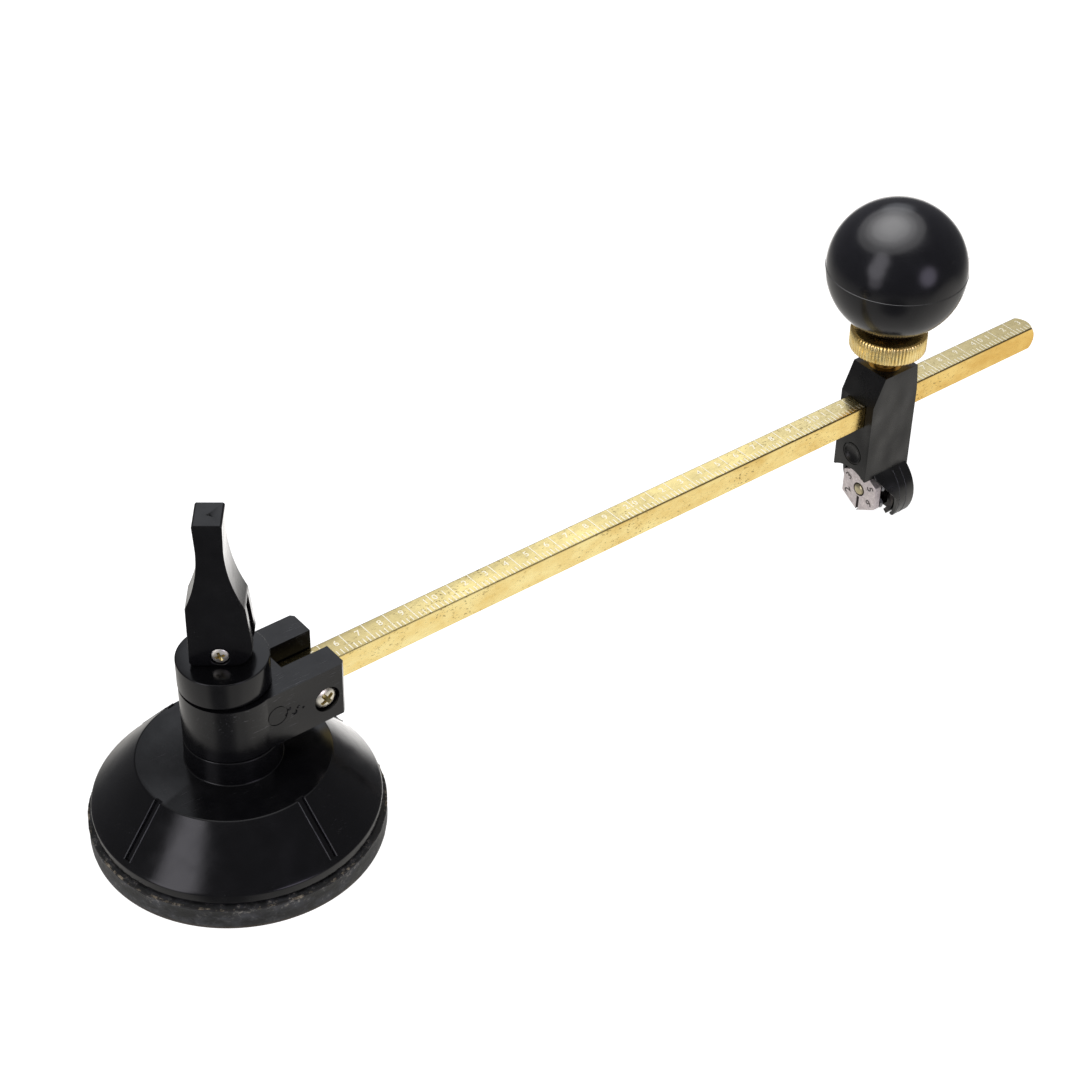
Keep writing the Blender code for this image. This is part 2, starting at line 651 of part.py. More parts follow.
def clamp_screw():
    edge = 0.5 * MM
    bore = SPINDLE_RADIUS + 0.05 * MM
    bore_floor = RING_BOTTOM + 0.5 * MM
    outline = [
        (0, SCREW_TIP),
        (SCREW_RADIUS - 0.4 * MM, SCREW_TIP),
        (SCREW_RADIUS, SCREW_TIP + 0.5 * MM),
        (SCREW_RADIUS, RING_BOTTOM),
        (RING_RADIUS - edge, RING_BOTTOM),
        (RING_RADIUS, RING_BOTTOM + edge),
        (RING_RADIUS, RING_TOP - edge),
        (RING_RADIUS - edge, RING_TOP),
        (bore, RING_TOP),
        (bore, bore_floor),
        (0, bore_floor),
    ]
    return turned("clamp_screw", outline, brass(), 64, Matrix.Translation((CLAMP_X, 0, 0)))


def knob_spindle():
    bottom = RING_BOTTOM + 0.8 * MM
    shoulder = BUSH_TOP + GAP
    outline = [
        (0, bottom),
        (SPINDLE_RADIUS, bottom),
        (SPINDLE_RADIUS, shoulder),
        (SPINDLE_HEAD_RADIUS, shoulder),
        (SPINDLE_HEAD_RADIUS, shoulder + 1.8 * MM),
        (0, shoulder + 1.8 * MM),
    ]
    return turned("knob_spindle", outline, nickel(), 32, Matrix.Translation((CLAMP_X, 0, 0)))


def knob_bush():
    bottom = BALL_FOOT + 0.1 * MM
    bore = SPINDLE_RADIUS + RUNNING
    outline = [(BUSH_RADIUS, bottom), (BUSH_RADIUS, BUSH_TOP), (bore, BUSH_TOP), (bore, bottom)]
    return turned("knob_bush", outline, brass(), 32, Matrix.Translation((CLAMP_X, 0, 0)))


def ball_knob():
    bore = BUSH_RADIUS + 0.05 * MM
    roof = BUSH_TOP + 3.2 * MM
    foot_radius = bore + 0.7 * MM
    start = math.atan2(BALL_FOOT - BALL_Z, foot_radius)
    outline = [(0, roof), (bore, roof), (bore, BALL_FOOT)]
    steps = 22
    for step in range(steps):
        angle = start + (math.pi / 2 - start) * step / steps
        outline.append((BALL_RADIUS * math.cos(angle), BALL_Z + BALL_RADIUS * math.sin(angle)))
    outline.append((0, BALL_Z + BALL_RADIUS))
    return turned("ball_knob", outline, black_plastic(), 48, Matrix.Translation((CLAMP_X, 0, 0)))


# Turret ----------------------------------------------------------------------------------------------------


def zinc():
    return material("cast_zinc", (0.62, 0.58, 0.57), 0.5, 0.7)


def wheel_angle(number):
    """Station 1 is at the foot, and the others follow clockwise as seen from the hub."""
    return math.radians(180.0 - number * 360.0 / WHEELS)


def wheel_centre(number):
    """(y, z) of a wheel's axle. Station 1 is straight below the turret's axis."""
    angle = wheel_angle(number)
    return (WHEEL_ORBIT * math.sin(angle), TURRET_Z + WHEEL_ORBIT * math.cos(angle))


def axle_cutter(name, number, low, high):
    radius = AXLE_RADIUS + 0.05 * MM
    y, z = wheel_centre(number)
    outline = [(0, low), (radius, low), (radius, high), (0, high)]
    return turned(name, outline, None, 16, along_x(0, y, z))


def turret_body():
    face = TURRET_FACE
    back = TURRET_FACE + TURRET_PLATE
    obj = prism("turret_body", polygon(WHEELS, TURRET_CORNER_RADIUS), face, back, zinc(), turret_axis())
    bevel(obj, 0.15 * MM)
    core = [(0, face + 0.5 * MM), (TURRET_CORE_RADIUS, face + 0.5 * MM),
            (TURRET_CORE_RADIUS, BACK_PLATE_NEAR - GAP), (0, BACK_PLATE_NEAR - GAP)]
    combine(obj, turned("turret_core_tool", core, None, 24, turret_axis()), "UNION")
    bore = PIN_RADIUS + RUNNING
    hole = [(0, face - MM), (bore, face - MM), (bore, BACK_PLATE_FAR), (0, BACK_PLATE_FAR)]
    combine(obj, turned("turret_bore_cutter", hole, None, 24, turret_axis()), "DIFFERENCE")
    for number in range(WHEELS):
        cutter = axle_cutter(f"face_axle_cutter_{number + 1}", number, back - 0.9 * MM, back + MM)
        combine(obj, cutter, "DIFFERENCE")
    return obj


def turret_back_plate():
    outline = polygon(WHEELS, BACK_PLATE_CORNER_RADIUS)
    obj = prism("turret_back_plate", outline, BACK_PLATE_NEAR, BACK_PLATE_FAR, dark_steel(), turret_axis())
    bore = PIN_RADIUS + RUNNING
    hole = [(0, 160 * MM), (bore, 160 * MM), (bore, 170 * MM), (0, 170 * MM)]
    combine(obj, turned("back_plate_bore_cutter", hole, None, 24, turret_axis()), "DIFFERENCE")
    for number in range(WHEELS):
        cutter = axle_cutter(f"back_axle_cutter_{number + 1}", number, BACK_PLATE_NEAR - MM,
                             BACK_PLATE_NEAR + 0.8 * MM)
        combine(obj, cutter, "DIFFERENCE")
    return obj


def turret_pin():
    tip = TURRET_FACE - 0.35 * MM
    head = SLIDER_FAR + 0.1 * MM
    outline = [
        (0, tip),
        (PIN_RADIUS - 0.25 * MM, tip),
        (PIN_RADIUS, tip + 0.25 * MM),
        (PIN_RADIUS, head),
        (2.4 * MM, head),
        (2.1 * MM, head + 0.8 * MM),
        (0, head + 1.0 * MM),
    ]
    return turned("turret_pin", outline, material("rivet_brass", (0.66, 0.60, 0.42), 0.4, 1.0), 24, turret_axis())


def wave_washer():
    low = BACK_PLATE_FAR + 0.15 * MM
    high = HOUSING_FLOOR - 0.2 * MM
    inner = PIN_RADIUS + 0.15 * MM
    outline = [(inner, low), (3.3 * MM, low), (3.3 * MM, high), (inner, high)]
    return turned("wave_washer", outline, nickel(), 24, turret_axis())


def index_spring():
    """A bent leaf that lies in the housing beside the turret's front flat."""
    inner = 6.3 * MM
    outer = HOUSING_BORE - GAP
    outline = arc((0, 0), outer, -50, -118, 9) + arc((0, 0), inner, -118, -50, 9)
    return prism("index_spring", outline, 165.4 * MM, HOUSING_FLOOR - 0.2 * MM, dark_steel(), turret_axis())


def cutting_wheel(number):
    y, z = wheel_centre(number)
    half = WHEEL_THICK / 2
    bore = AXLE_RADIUS + RUNNING
    shoulder = WHEEL_RADIUS - 0.3 * MM
    outline = [(bore, -half), (shoulder, -half), (WHEEL_RADIUS, 0), (shoulder, half), (bore, half)]
    carbide = material("carbide", (0.33, 0.33, 0.35), 0.2, 1.0)
    obj = turned(f"cutting_wheel_{number + 1}", outline, carbide, 24, Matrix.Rotation(math.pi / 2, 4, "Y"))
    obj.location = (WHEEL_X, y, z)
    return obj


def wheel_axle(number):
    y, z = wheel_centre(number)
    low = TURRET_FACE + TURRET_PLATE - 0.8 * MM
    high = BACK_PLATE_NEAR + 0.7 * MM
    outline = [(0, low), (AXLE_RADIUS, low), (AXLE_RADIUS, high), (0, high)]
    return turned(f"wheel_axle_{number + 1}", outline, nickel(), 16, along_x(0, y, z))


def build():
    clear_scene()
    suction_pad()
    cup_housing()
    hub_cap()
    pull_stud()
    cam_lever()
    lever_screw()
    swivel_arm()
    arm_screw()
    arm_nut()
    graduated_bar()
    slider_block()
    threaded_insert()
    pressure_shoe()
    clamp_screw()
    knob_spindle()
    knob_bush()
    ball_knob()
    turret_body()
    turret_back_plate()
    turret_pin()
    wave_washer()
    index_spring()
    for number in range(WHEELS):
        cutting_wheel(number)
        wheel_axle(number)


build()
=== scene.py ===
import math
import random

import bmesh
import bpy
from mathutils import Matrix, Vector, noise

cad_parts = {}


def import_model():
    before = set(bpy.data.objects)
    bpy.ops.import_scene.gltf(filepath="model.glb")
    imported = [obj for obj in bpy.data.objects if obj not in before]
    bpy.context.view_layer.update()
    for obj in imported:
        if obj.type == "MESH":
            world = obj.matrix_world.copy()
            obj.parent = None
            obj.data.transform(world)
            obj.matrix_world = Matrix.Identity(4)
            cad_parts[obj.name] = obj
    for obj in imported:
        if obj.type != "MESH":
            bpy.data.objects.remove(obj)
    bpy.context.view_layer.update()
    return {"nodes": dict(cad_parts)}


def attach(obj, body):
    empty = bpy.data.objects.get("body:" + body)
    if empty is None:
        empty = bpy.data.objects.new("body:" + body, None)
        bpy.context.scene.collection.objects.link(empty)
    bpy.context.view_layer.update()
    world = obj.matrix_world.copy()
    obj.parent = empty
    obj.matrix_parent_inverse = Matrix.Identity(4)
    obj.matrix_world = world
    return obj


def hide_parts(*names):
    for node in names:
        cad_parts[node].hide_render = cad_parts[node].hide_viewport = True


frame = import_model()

random.seed(7)

# The object stands on the glass at z = 0, the suction base's axis is Z, and the bar runs along +X. These are
# the CAD model's own measures, in metres. Names that end in _MM, and the points of outlines, are in
# millimetres.
MM = 0.001
LEVER_TURN = math.radians(-37.0)  # the lever's plane, from the bar's
HEAD_SHIFT = -0.64 * MM  # the cap and lever stand this far off the base's axis
PIVOT_Z = 43.7 * MM
LEVER_TOP = 29.4 * MM  # above the pivot
TURRET_Z = 5.9 * MM
BAR_MID_Z = 28.5 * MM
BAR_TOP = 31.2 * MM
CLAMP_X = 165.5 * MM
ARM_SCREW_X = 15.5 * MM
BAR_HALF_MM = 2.7
BAR_END_MM = 211.8
BAR_DOME_MM = 4.3  # radius of the bar's rounded end
BALL_Z_MM = 61.9  # its middle
BALL_RADIUS_MM = 14.85
CONE_LOW_MM = (26.9, 8.05)  # the cup's cone: radius and height of its lower and upper edges
CONE_HIGH_MM = (18.35, 17.7)
CHANNELS = 4


# Materials ------------------------------


def add_node(tree, kind, **inputs):
    """A new node with its inputs set or linked, each by its name, or by its number as i0, i1 and so on."""
    made = tree.nodes.new("ShaderNode" + kind)
    for name, value in inputs.items():
        by_number = name[0] == "i" and name[1:].isdigit()
        target = made.inputs[int(name[1:]) if by_number else name.replace("_", " ")]
        if isinstance(value, bpy.types.NodeSocket):
            tree.links.new(value, target)
        else:
            target.default_value = value
    return made


def blend(tree, amount, first, second):
    """A colour between two, each a socket or a constant, by an amount that is a socket or a number."""
    made = tree.nodes.new("ShaderNodeMix")
    made.data_type = "RGBA"
    for socket, value in ((0, amount), (6, first), (7, second)):
        if isinstance(value, bpy.types.NodeSocket):
            tree.links.new(value, made.inputs[socket])
        else:
            made.inputs[socket].default_value = value if socket == 0 else (*value, 1.0)
    return made.outputs[2]


class Paint:
    """A Principled material with node textures in the object's own metres."""

    def __init__(self, name, rough=0.4, metallic=0.0, **sockets):
        self.material = bpy.data.materials.new(name)
        self.material.use_nodes = True
        self.tree = self.material.node_tree
        self.shader = self.tree.nodes["Principled BSDF"]
        self.where = self.tree.nodes.new("ShaderNodeTexCoord").outputs["Object"]
        self.shader.inputs["Roughness"].default_value = rough
        self.shader.inputs["Metallic"].default_value = metallic
        for socket, value in sockets.items():
            self.shader.inputs[socket.replace("_", " ")].default_value = value

    def node(self, kind, **inputs):
        return add_node(self.tree, kind, **inputs)

    def place(self, stretch):
        return self.node("Mapping", Vector=self.where, Scale=stretch).outputs[0]

    def noise(self, size_mm, detail=4.0, rough=0.55, stretch=(1, 1, 1), offset=0.0):
        """Noise from 0 to 1 whose features are about size_mm across."""
        made = self.node("TexNoise", Vector=self.place(stretch), Scale=1000.0 / size_mm, Detail=detail,
                         Roughness=rough)
        made.noise_dimensions = "4D"
        made.inputs["W"].default_value = offset
        return made.outputs[0]

    def spots(self, size_mm, low, high, stretch=(1, 1, 1)):
        """1 inside small round spots about size_mm apart, and 0 outside."""
        made = self.node("TexVoronoi", Vector=self.place(stretch), Scale=1000.0 / size_mm)
        return self.ramp(made.outputs["Distance"], high, low)

    def ramp(self, value, low, high, start=0.0, end=1.0):
        """Takes low..high to start..end, and holds there outside it."""
        made = self.node("MapRange", Value=value, From_Min=low, From_Max=high, To_Min=start, To_Max=end)
        return made.outputs[0]

    def bands(self, value, *stops):
        """A colour ramp through (position, colour) stops."""
        made = self.node("ValToRGB", Fac=value)
        elements = made.color_ramp.elements
        while len(elements) < len(stops):
            elements.new(0.5)
        for element, (position, colour) in zip(elements, stops):
            element.position = position
            element.color = (*colour, 1.0)
        return made.outputs[0]

    def times(self, first, second):
        made = self.node("Math", i0=first, i1=second)
        made.operation = "MULTIPLY"
        return made.outputs[0]

    def mix(self, amount, first, second):
        return blend(self.tree, amount, first, second)

    def colour(self, socket):
        self.tree.links.new(socket, self.shader.inputs["Base Color"])

    def roughness(self, socket):
        self.tree.links.new(socket, self.shader.inputs["Roughness"])

    def bump(self, height, depth_mm):
        """Adds relief of this depth to what the surface has already."""
        before = self.shader.inputs["Normal"].links
        made = self.node("Bump", Height=height, Strength=1.0, Distance=depth_mm * MM)
        if before:
            self.tree.links.new(before[0].from_socket, made.inputs["Normal"])
        self.tree.links.new(made.outputs[0], self.shader.inputs["Normal"])

    def axis(self, index):
        """The piece's own X, Y or Z, in metres."""
        return self.node("SeparateXYZ", Vector=self.where).outputs[index]


def gloss_plastic(name, rough=(0.13, 0.25), base=(0.0026, 0.0026, 0.003), scuff=0.06):
    """Polished black plastic, mottled and a little wavy, with pale scratches along X where it is scuffed."""
    paint = Paint(name, IOR=1.5, Specular_IOR_Level=0.3)
    mottle = paint.noise(3.5, 5)
    scratches = paint.ramp(paint.noise(1.6, 3, 0.6, (0.5, 5, 5), 3.0), 0.61, 0.70)
    zones = paint.ramp(paint.noise(9.0, 2, 0.5, offset=11.0), 0.45, 0.62)
    tone = paint.mix(mottle, base, tuple(1.9 * c for c in base))
    paint.colour(paint.mix(paint.times(scratches, zones), tone, (scuff, scuff, scuff * 1.05)))
    paint.roughness(paint.ramp(mottle, 0.3, 0.7, *rough))
    paint.bump(paint.noise(0.5, 3, 0.5, offset=5.0), 0.004)
    paint.bump(paint.noise(7.0, 2, 0.5, offset=8.0), 0.05)
    return paint.material


def satin_plastic():
    """The slider's duller black plastic, with the long waves of its sunk sides."""
    paint = Paint("slider_plastic_look", IOR=1.5, Specular_IOR_Level=0.35)
    mottle = paint.noise(2.4, 5)
    cloud = paint.noise(9.0, 3, 0.5, (1, 1, 0.6), 2.0)
    paint.colour(paint.mix(paint.ramp(cloud, 0.35, 0.7), (0.0036, 0.0036, 0.0038), (0.0085, 0.0082, 0.0075)))
    paint.roughness(paint.ramp(mottle, 0.3, 0.7, 0.22, 0.36))
    paint.bump(paint.noise(0.45, 4, 0.6), 0.008)
    paint.bump(paint.noise(9.0, 1, 0.5, (1, 1, 0.7), 4.0), 1.5)
    return paint.material


def rubber():
    """The pad's rubber: cloudy black, dusty near its top edge, and brown at its foot as a painted contact
    shadow.
    """
    paint = Paint("rubber_look", IOR=1.5, Specular_IOR_Level=0.4)
    cloud = paint.noise(4.0, 6, 0.7, (1, 1, 1.6))
    fine = paint.noise(0.8, 5, 0.7, offset=2.0)
    tone = paint.mix(paint.ramp(cloud, 0.44, 0.66), (0.005, 0.0055, 0.005), (0.045, 0.047, 0.051))
    upper = paint.ramp(paint.axis(2), 0.0030, 0.0046, 0.25, 1.0)
    dust = paint.times(paint.times(paint.ramp(fine, 0.52, 0.64), paint.ramp(cloud, 0.46, 0.60)), upper)
    dusty = paint.mix(dust, tone, (0.25, 0.23, 0.19))
    # Painted contact shadow: the lowest millimetre turns brown where the pad meets the floor.
    brown = paint.ramp(paint.axis(2), 0.0010, 0.0001, 0.0, 0.8)
    low = paint.mix(brown, dusty, (0.050, 0.034, 0.018))
    paint.colour(paint.mix(paint.spots(2.2, 0.06, 0.16), low, (0.006, 0.006, 0.006)))
    paint.roughness(paint.ramp(cloud, 0.3, 0.7, 0.42, 0.75))
    paint.bump(fine, 0.06)
    paint.bump(paint.noise(3.5, 4, 0.6, offset=6.0), 0.2)
    return paint.material


def brass(name, base, other, rough):
    """Plain brass, clouded between two tones."""
    paint = Paint(name, metallic=1.0)
    cloud = paint.noise(2.5, 5, 0.6)
    paint.colour(paint.mix(paint.ramp(cloud, 0.35, 0.7), base, other))
    fine = paint.noise(0.5, 4, 0.6, offset=4.0)
    paint.roughness(paint.ramp(fine, 0.3, 0.75, *rough))
    paint.bump(fine, 0.012)
    return paint.material


def bar_brass():
    """Drawn brass: blotched front, a top painted darker and duller than the front as a painted reflection and
    palest halfway along as a painted highlight, dark top edges and specks.
    """
    paint = Paint("bar_brass_look", metallic=1.0)
    along = paint.ramp(paint.axis(0), 0.0, 0.212)
    blotch = paint.ramp(paint.noise(5.0, 5, 0.65, (0.6, 1, 1)), 0.38, 0.66)
    front = paint.bands(along, (0.1, (1.0, 0.86, 0.42)), (0.55, (1.0, 0.83, 0.37)), (1.0, (0.90, 0.62, 0.18)))
    warm = paint.bands(along, (0.1, (0.90, 0.68, 0.25)), (0.55, (0.80, 0.56, 0.18)),
                       (1.0, (0.74, 0.45, 0.10)))
    front = paint.mix(blotch, front, warm)
    # Painted light on the top: darker than the front as a painted reflection of the room, and toned along the
    # bar to follow the light, palest halfway along as a painted highlight.
    pale = paint.bands(along, (0.1, (0.58, 0.47, 0.22)), (0.24, (0.86, 0.70, 0.30)),
                       (0.6, (0.90, 0.73, 0.31)), (0.72, (0.68, 0.57, 0.29)), (1.0, (0.52, 0.43, 0.22)))
    top_painted_reflection = paint.mix(paint.times(blotch, 0.55), pale, (0.50, 0.41, 0.19))
    tone = paint.mix(paint.ramp(paint.axis(2), 0.03105, 0.03118), front, top_painted_reflection)
    corner = paint.times(paint.ramp(paint.axis(1), -0.00225, -0.0026),
                         paint.ramp(paint.axis(2), 0.0308, 0.03105))
    strength = paint.ramp(paint.axis(0), 0.03, 0.12, 0.25, 0.9)
    tone = paint.mix(paint.times(corner, strength), tone, (0.12, 0.08, 0.03))
    back = paint.times(paint.ramp(paint.axis(1), 0.00235, 0.0026), paint.ramp(paint.axis(2), 0.0309, 0.0311))
    tone = paint.mix(paint.times(back, 0.7), tone, (0.22, 0.20, 0.15))
    patches = paint.ramp(paint.noise(9.0, 3, 0.6, (0.6, 1, 1), 9.0), 0.42, 0.62, 0.15, 1.0)
    dots = paint.ramp(paint.noise(0.36, 3, 0.7, (0.6, 1, 1), 1.0), 0.575, 0.65)
    tone = paint.mix(paint.times(patches, dots), tone, (0.14, 0.09, 0.03))
    paint.colour(tone)
    fine = paint.noise(0.5, 4, 0.65, (0.6, 1, 1), 4.0)
    paint.roughness(paint.ramp(fine, 0.3, 0.75, 0.18, 0.32))
    paint.bump(fine, 0.012)
    paint.bump(paint.noise(3.0, 3, 0.5, (0.6, 1, 1), 7.0), 0.03)
    return paint.material


def ring_brass():
    """The clamp screw's brass: gold on the teeth, with painted shade in brown in the grooves between them."""
    paint = Paint("ring_brass_look", metallic=1.0)
    cloud = paint.noise(1.6, 5, 0.6)
    gold = paint.mix(paint.ramp(cloud, 0.38, 0.66), (0.97, 0.80, 0.38), (0.88, 0.62, 0.20))
    centred = paint.node("Mapping", Vector=paint.where, Location=(-CLAMP_X, 0, 0), Scale=(1, 1, 0)).outputs[0]
    length = paint.node("VectorMath", i0=centred)
    length.operation = "LENGTH"
    # Painted shade: the grooves between the teeth are tinted brown.
    groove = paint.ramp(length.outputs["Value"], 0.00822, 0.00802)
    paint.colour(paint.mix(paint.times(groove, 0.7), gold, (0.60, 0.36, 0.08)))
    fine = paint.noise(0.5, 4, 0.6, offset=4.0)
    paint.roughness(paint.ramp(fine, 0.3, 0.75, 0.2, 0.36))
    paint.bump(fine, 0.02)
    return paint.material


def plated(name, base=(0.84, 0.81, 0.72), other=(0.70, 0.63, 0.48), rough=(0.2, 0.4)):
    """Plated or bare steel, clouded between two tones."""
    paint = Paint(name, metallic=1.0)
    cloud = paint.noise(1.6, 5, 0.6)
    paint.colour(paint.mix(paint.ramp(cloud, 0.4, 0.7), base, other))
    paint.roughness(paint.ramp(paint.noise(0.8, 4, 0.6, offset=3.0), 0.3, 0.7, *rough))
    paint.bump(paint.noise(0.5, 4, 0.6, offset=5.0), 0.01)
    return paint.material


def blackened():
    """Blackened steel, worn paler in clouds."""
    paint = Paint("blackened_steel_look", metallic=1.0)
    cloud = paint.noise(1.5, 5, 0.6)
    paint.colour(paint.mix(paint.ramp(cloud, 0.4, 0.7), (0.035, 0.034, 0.036), (0.13, 0.12, 0.11)))
    paint.roughness(paint.ramp(cloud, 0.3, 0.7, 0.3, 0.55))
    paint.bump(paint.noise(0.5, 4, 0.6, offset=5.0), 0.02)
    return paint.material


def cast_zinc():
    """The turret's casting: pinkish grey with pale grains and dark pits."""
    paint = Paint("cast_zinc_look", metallic=0.55)
    cloud = paint.noise(1.1, 6, 0.7)
    fine = paint.noise(0.28, 4, 0.65, offset=3.0)
    tone = paint.mix(paint.ramp(cloud, 0.35, 0.68), (0.74, 0.67, 0.65), (0.52, 0.465, 0.455))
    tone = paint.mix(paint.ramp(fine, 0.58, 0.70), tone, (0.28, 0.235, 0.225))
    paint.colour(paint.mix(paint.ramp(fine, 0.42, 0.32), tone, (0.92, 0.88, 0.86)))
    paint.roughness(paint.ramp(cloud, 0.3, 0.7, 0.42, 0.62))
    paint.bump(fine, 0.06)
    paint.bump(cloud, 0.06)
    return paint.material


def torn_flash():
    """Rubber flash: black for the most part, whitish brown where it is torn."""
    paint = Paint("flash_look", 0.75)
    torn = paint.ramp(paint.noise(3.2, 5, 0.7), 0.50, 0.60)
    fine = paint.noise(0.7, 4, 0.6, offset=3.0)
    pale = paint.mix(paint.ramp(fine, 0.4, 0.65), (0.30, 0.26, 0.19), (0.10, 0.075, 0.045))
    paint.colour(paint.mix(torn, (0.010, 0.010, 0.009), pale))
    paint.bump(fine, 0.04)
    return paint.material


def flat_tone(name, first, second, size_mm, rough, metallic=0.0):
    """A small marking's finish: two close tones in fine noise."""
    paint = Paint(name, rough, metallic)
    mottle = paint.noise(size_mm, 4, 0.6)
    paint.colour(paint.mix(paint.ramp(mottle, 0.35, 0.65), first, second))
    paint.bump(mottle, 0.02)
    return paint.material


LOOKS = {
    "black": gloss_plastic("black_plastic_look", scuff=0.02),
    "arm": gloss_plastic("arm_plastic_look", scuff=0.075),
    # Paler black for the channels' burrs and the slider's mould lines: a painted highlight along them.
    "edge": gloss_plastic("edge_painted_highlight_look", (0.2, 0.3), (0.028, 0.028, 0.031), 0.12),
    "ball": gloss_plastic("ball_plastic_look", (0.16, 0.22), (0.0022, 0.0022, 0.0028), 0.012),
    "slider": satin_plastic(),
    "rubber": rubber(),
    "brass": bar_brass(),
    "ring": ring_brass(),
    # Darker brass for the clamp stem and the threaded insert: painted shade under the knurled ring.
    "stem": brass("stem_brass_painted_shade_look", (0.34, 0.25, 0.10), (0.20, 0.14, 0.05), (0.3, 0.45)),
    "rivet": brass("rivet_brass_look", (0.68, 0.62, 0.42), (0.50, 0.42, 0.24), (0.28, 0.45)),
    "plated": plated("nickel_look"),
    "bright": plated("bright_nickel_look", (0.97, 0.95, 0.88), (0.86, 0.80, 0.66), (0.38, 0.55)),
    "recess": plated("recess_look", (0.62, 0.54, 0.30), (0.36, 0.29, 0.12), (0.2, 0.4)),
    "dark": blackened(),
    "zinc": cast_zinc(),
    "carbide": plated("carbide_look", (0.30, 0.30, 0.32), (0.20, 0.20, 0.22), (0.1, 0.25)),
    "marks": flat_tone("engraving_look", (1.0, 0.94, 0.76), (0.97, 0.87, 0.60), 0.6, 0.3, 0.9),
    # Dark tone of the turret's digits, groove and bore: painted shade of stamped hollows.
    "digits": flat_tone("stamped_painted_shade_look", (0.045, 0.038, 0.035), (0.14, 0.12, 0.11), 0.4, 0.7),
    "flash": torn_flash(),
}

CARRIED = {
    "pull_stud": "plated",
    "arm_nut": "plated",
    # The insert takes the darker stem brass: painted shade under the ring.
    "threaded_insert": "stem",
    "pressure_shoe": "ring",
    "knob_spindle": "plated",
    "knob_bush": "ring",
    "turret_back_plate": "dark",
    "wave_washer": "plated",
    "index_spring": "dark",
    "cutting_wheel": "carbide",
    "wheel_axle": "plated",
}


def dress_carried_nodes():
    """Gives the CAD nodes that stay on show their finishes."""
    for name, node in frame["nodes"].items():
        look = CARRIED.get(name.rstrip("_123456"))
        for holder in node.material_slots if look else ():
            holder.link = "OBJECT"
            holder.material = LOOKS[look]


# Shapes ------------------------------


def body_from(name, bm, look, smooth_deg=32.0):
    """An object from a closed bmesh, its faces turned outwards, shaded smooth but for its sharp edges."""
    bm.normal_update()
    bmesh.ops.recalc_face_normals(bm, faces=bm.faces)
    if bm.calc_volume(signed=True) < 0:
        bmesh.ops.reverse_faces(bm, faces=bm.faces)
    mesh = bpy.data.meshes.new(name)
    bm.to_mesh(mesh)
    bm.free()
    mesh.shade_smooth()
    mesh.set_sharp_from_angle(angle=math.radians(smooth_deg))
    obj = bpy.data.objects.new(name, mesh)
    bpy.context.scene.collection.objects.link(obj)
    mesh.materials.append(LOOKS[look])
    return obj


def join_rings(bm, rings, closed=False):
    """Faces between each ring of vertices and the next, and from the last to the first when closed."""
    for low, high in zip(rings, rings[1:] + rings[:1] if closed else rings[1:]):
        sides = max(len(low), len(high))
        for step in range(sides):
            after = (step + 1) % sides
            corners = [low[step % len(low)], low[after % len(low)]]
            corners += [high[after % len(high)], high[step % len(high)]]
            unique = list(dict.fromkeys(corners))
            if len(unique) > 2:
                bm.faces.new(unique)


def turned_mesh(outline, segments=96, matrix=None):
    """A bmesh of (radius, height) points turned about Z. It starts and ends on the axis, or is a ring."""
    bm = bmesh.new()
    rings = []
    for radius, height in outline:
        if radius == 0:
            rings.append([bm.verts.new((0, 0, height))])
            continue
        angles = [2 * math.pi * step / segments for step in range(segments)]
        rings.append([bm.verts.new((radius * math.cos(a), radius * math.sin(a), height)) for a in angles])
    join_rings(bm, rings, closed=outline[0][0] != 0)
    if matrix:
        bm.transform(matrix)
    return bm


def turned(name, outline, look, segments=96, matrix=None):
    return body_from(name, turned_mesh(outline, segments, matrix), look)


def prism_mesh(outline, low, high, matrix=None):
    """A bmesh of a closed (x, y) outline, standing from low to high along Z."""
    bm = bmesh.new()
    face = bm.faces.new([bm.verts.new((x, y, low)) for x, y in outline])
    drawn = bmesh.ops.extrude_face_region(bm, geom=[face])
    moved = [item for item in drawn["geom"] if isinstance(item, bmesh.types.BMVert)]
    bmesh.ops.translate(bm, verts=moved, vec=(0, 0, high - low))
    if matrix:
        bm.transform(matrix)
    return bm


def prism(name, outline, low, high, look, matrix=None):
    return body_from(name, prism_mesh(outline, low, high, matrix), look)


def settled_mesh(obj):
    """The object's mesh with its modifiers applied."""
    graph = bpy.context.evaluated_depsgraph_get()
    return bpy.data.meshes.new_from_object(obj.evaluated_get(graph), depsgraph=graph)


def carve(obj, tool, operation="DIFFERENCE"):
    """Cuts or joins by another object, which is then removed. The cut takes the tool's material."""
    modifier = obj.modifiers.new("carve", "BOOLEAN")
    modifier.operation = operation
    modifier.object = tool
    modifier.solver = "EXACT"
    modifier.material_mode = "TRANSFER"
    bpy.context.view_layer.update()
    mesh = settled_mesh(obj)
    obj.modifiers.clear()
    obj.data = mesh
    bpy.data.objects.remove(tool, do_unlink=True)


def merge_slivers(obj, reach_mm=0.02, flat_deg=0.2):
    """Merges the points closer than reach_mm and the flat faces that Booleans leave: they'd choke a bevel."""
    bm = bmesh.new()
    bm.from_mesh(obj.data)
    bmesh.ops.remove_doubles(bm, verts=bm.verts, dist=reach_mm * MM)
    bmesh.ops.dissolve_degenerate(bm, edges=bm.edges, dist=reach_mm * MM)
    bmesh.ops.dissolve_limit(bm, angle_limit=math.radians(flat_deg), verts=bm.verts, edges=bm.edges,
                             delimit={"MATERIAL"})
    bm.to_mesh(obj.data)
    bm.free()


def soften(obj, width_mm, segments, angle_deg):
    """Bevels the edges sharper than angle_deg, and shades the rest smooth."""
    merge_slivers(obj)
    obj.data.shade_smooth()
    obj.data.set_sharp_from_angle(angle=math.radians(angle_deg))
    modifier = obj.modifiers.new("edges", "BEVEL")
    modifier.width = width_mm * MM
    modifier.segments = segments
    modifier.limit_method = "ANGLE"
    modifier.angle_limit = math.radians(angle_deg)
    modifier.harden_normals = True
    modifier.use_clamp_overlap = True


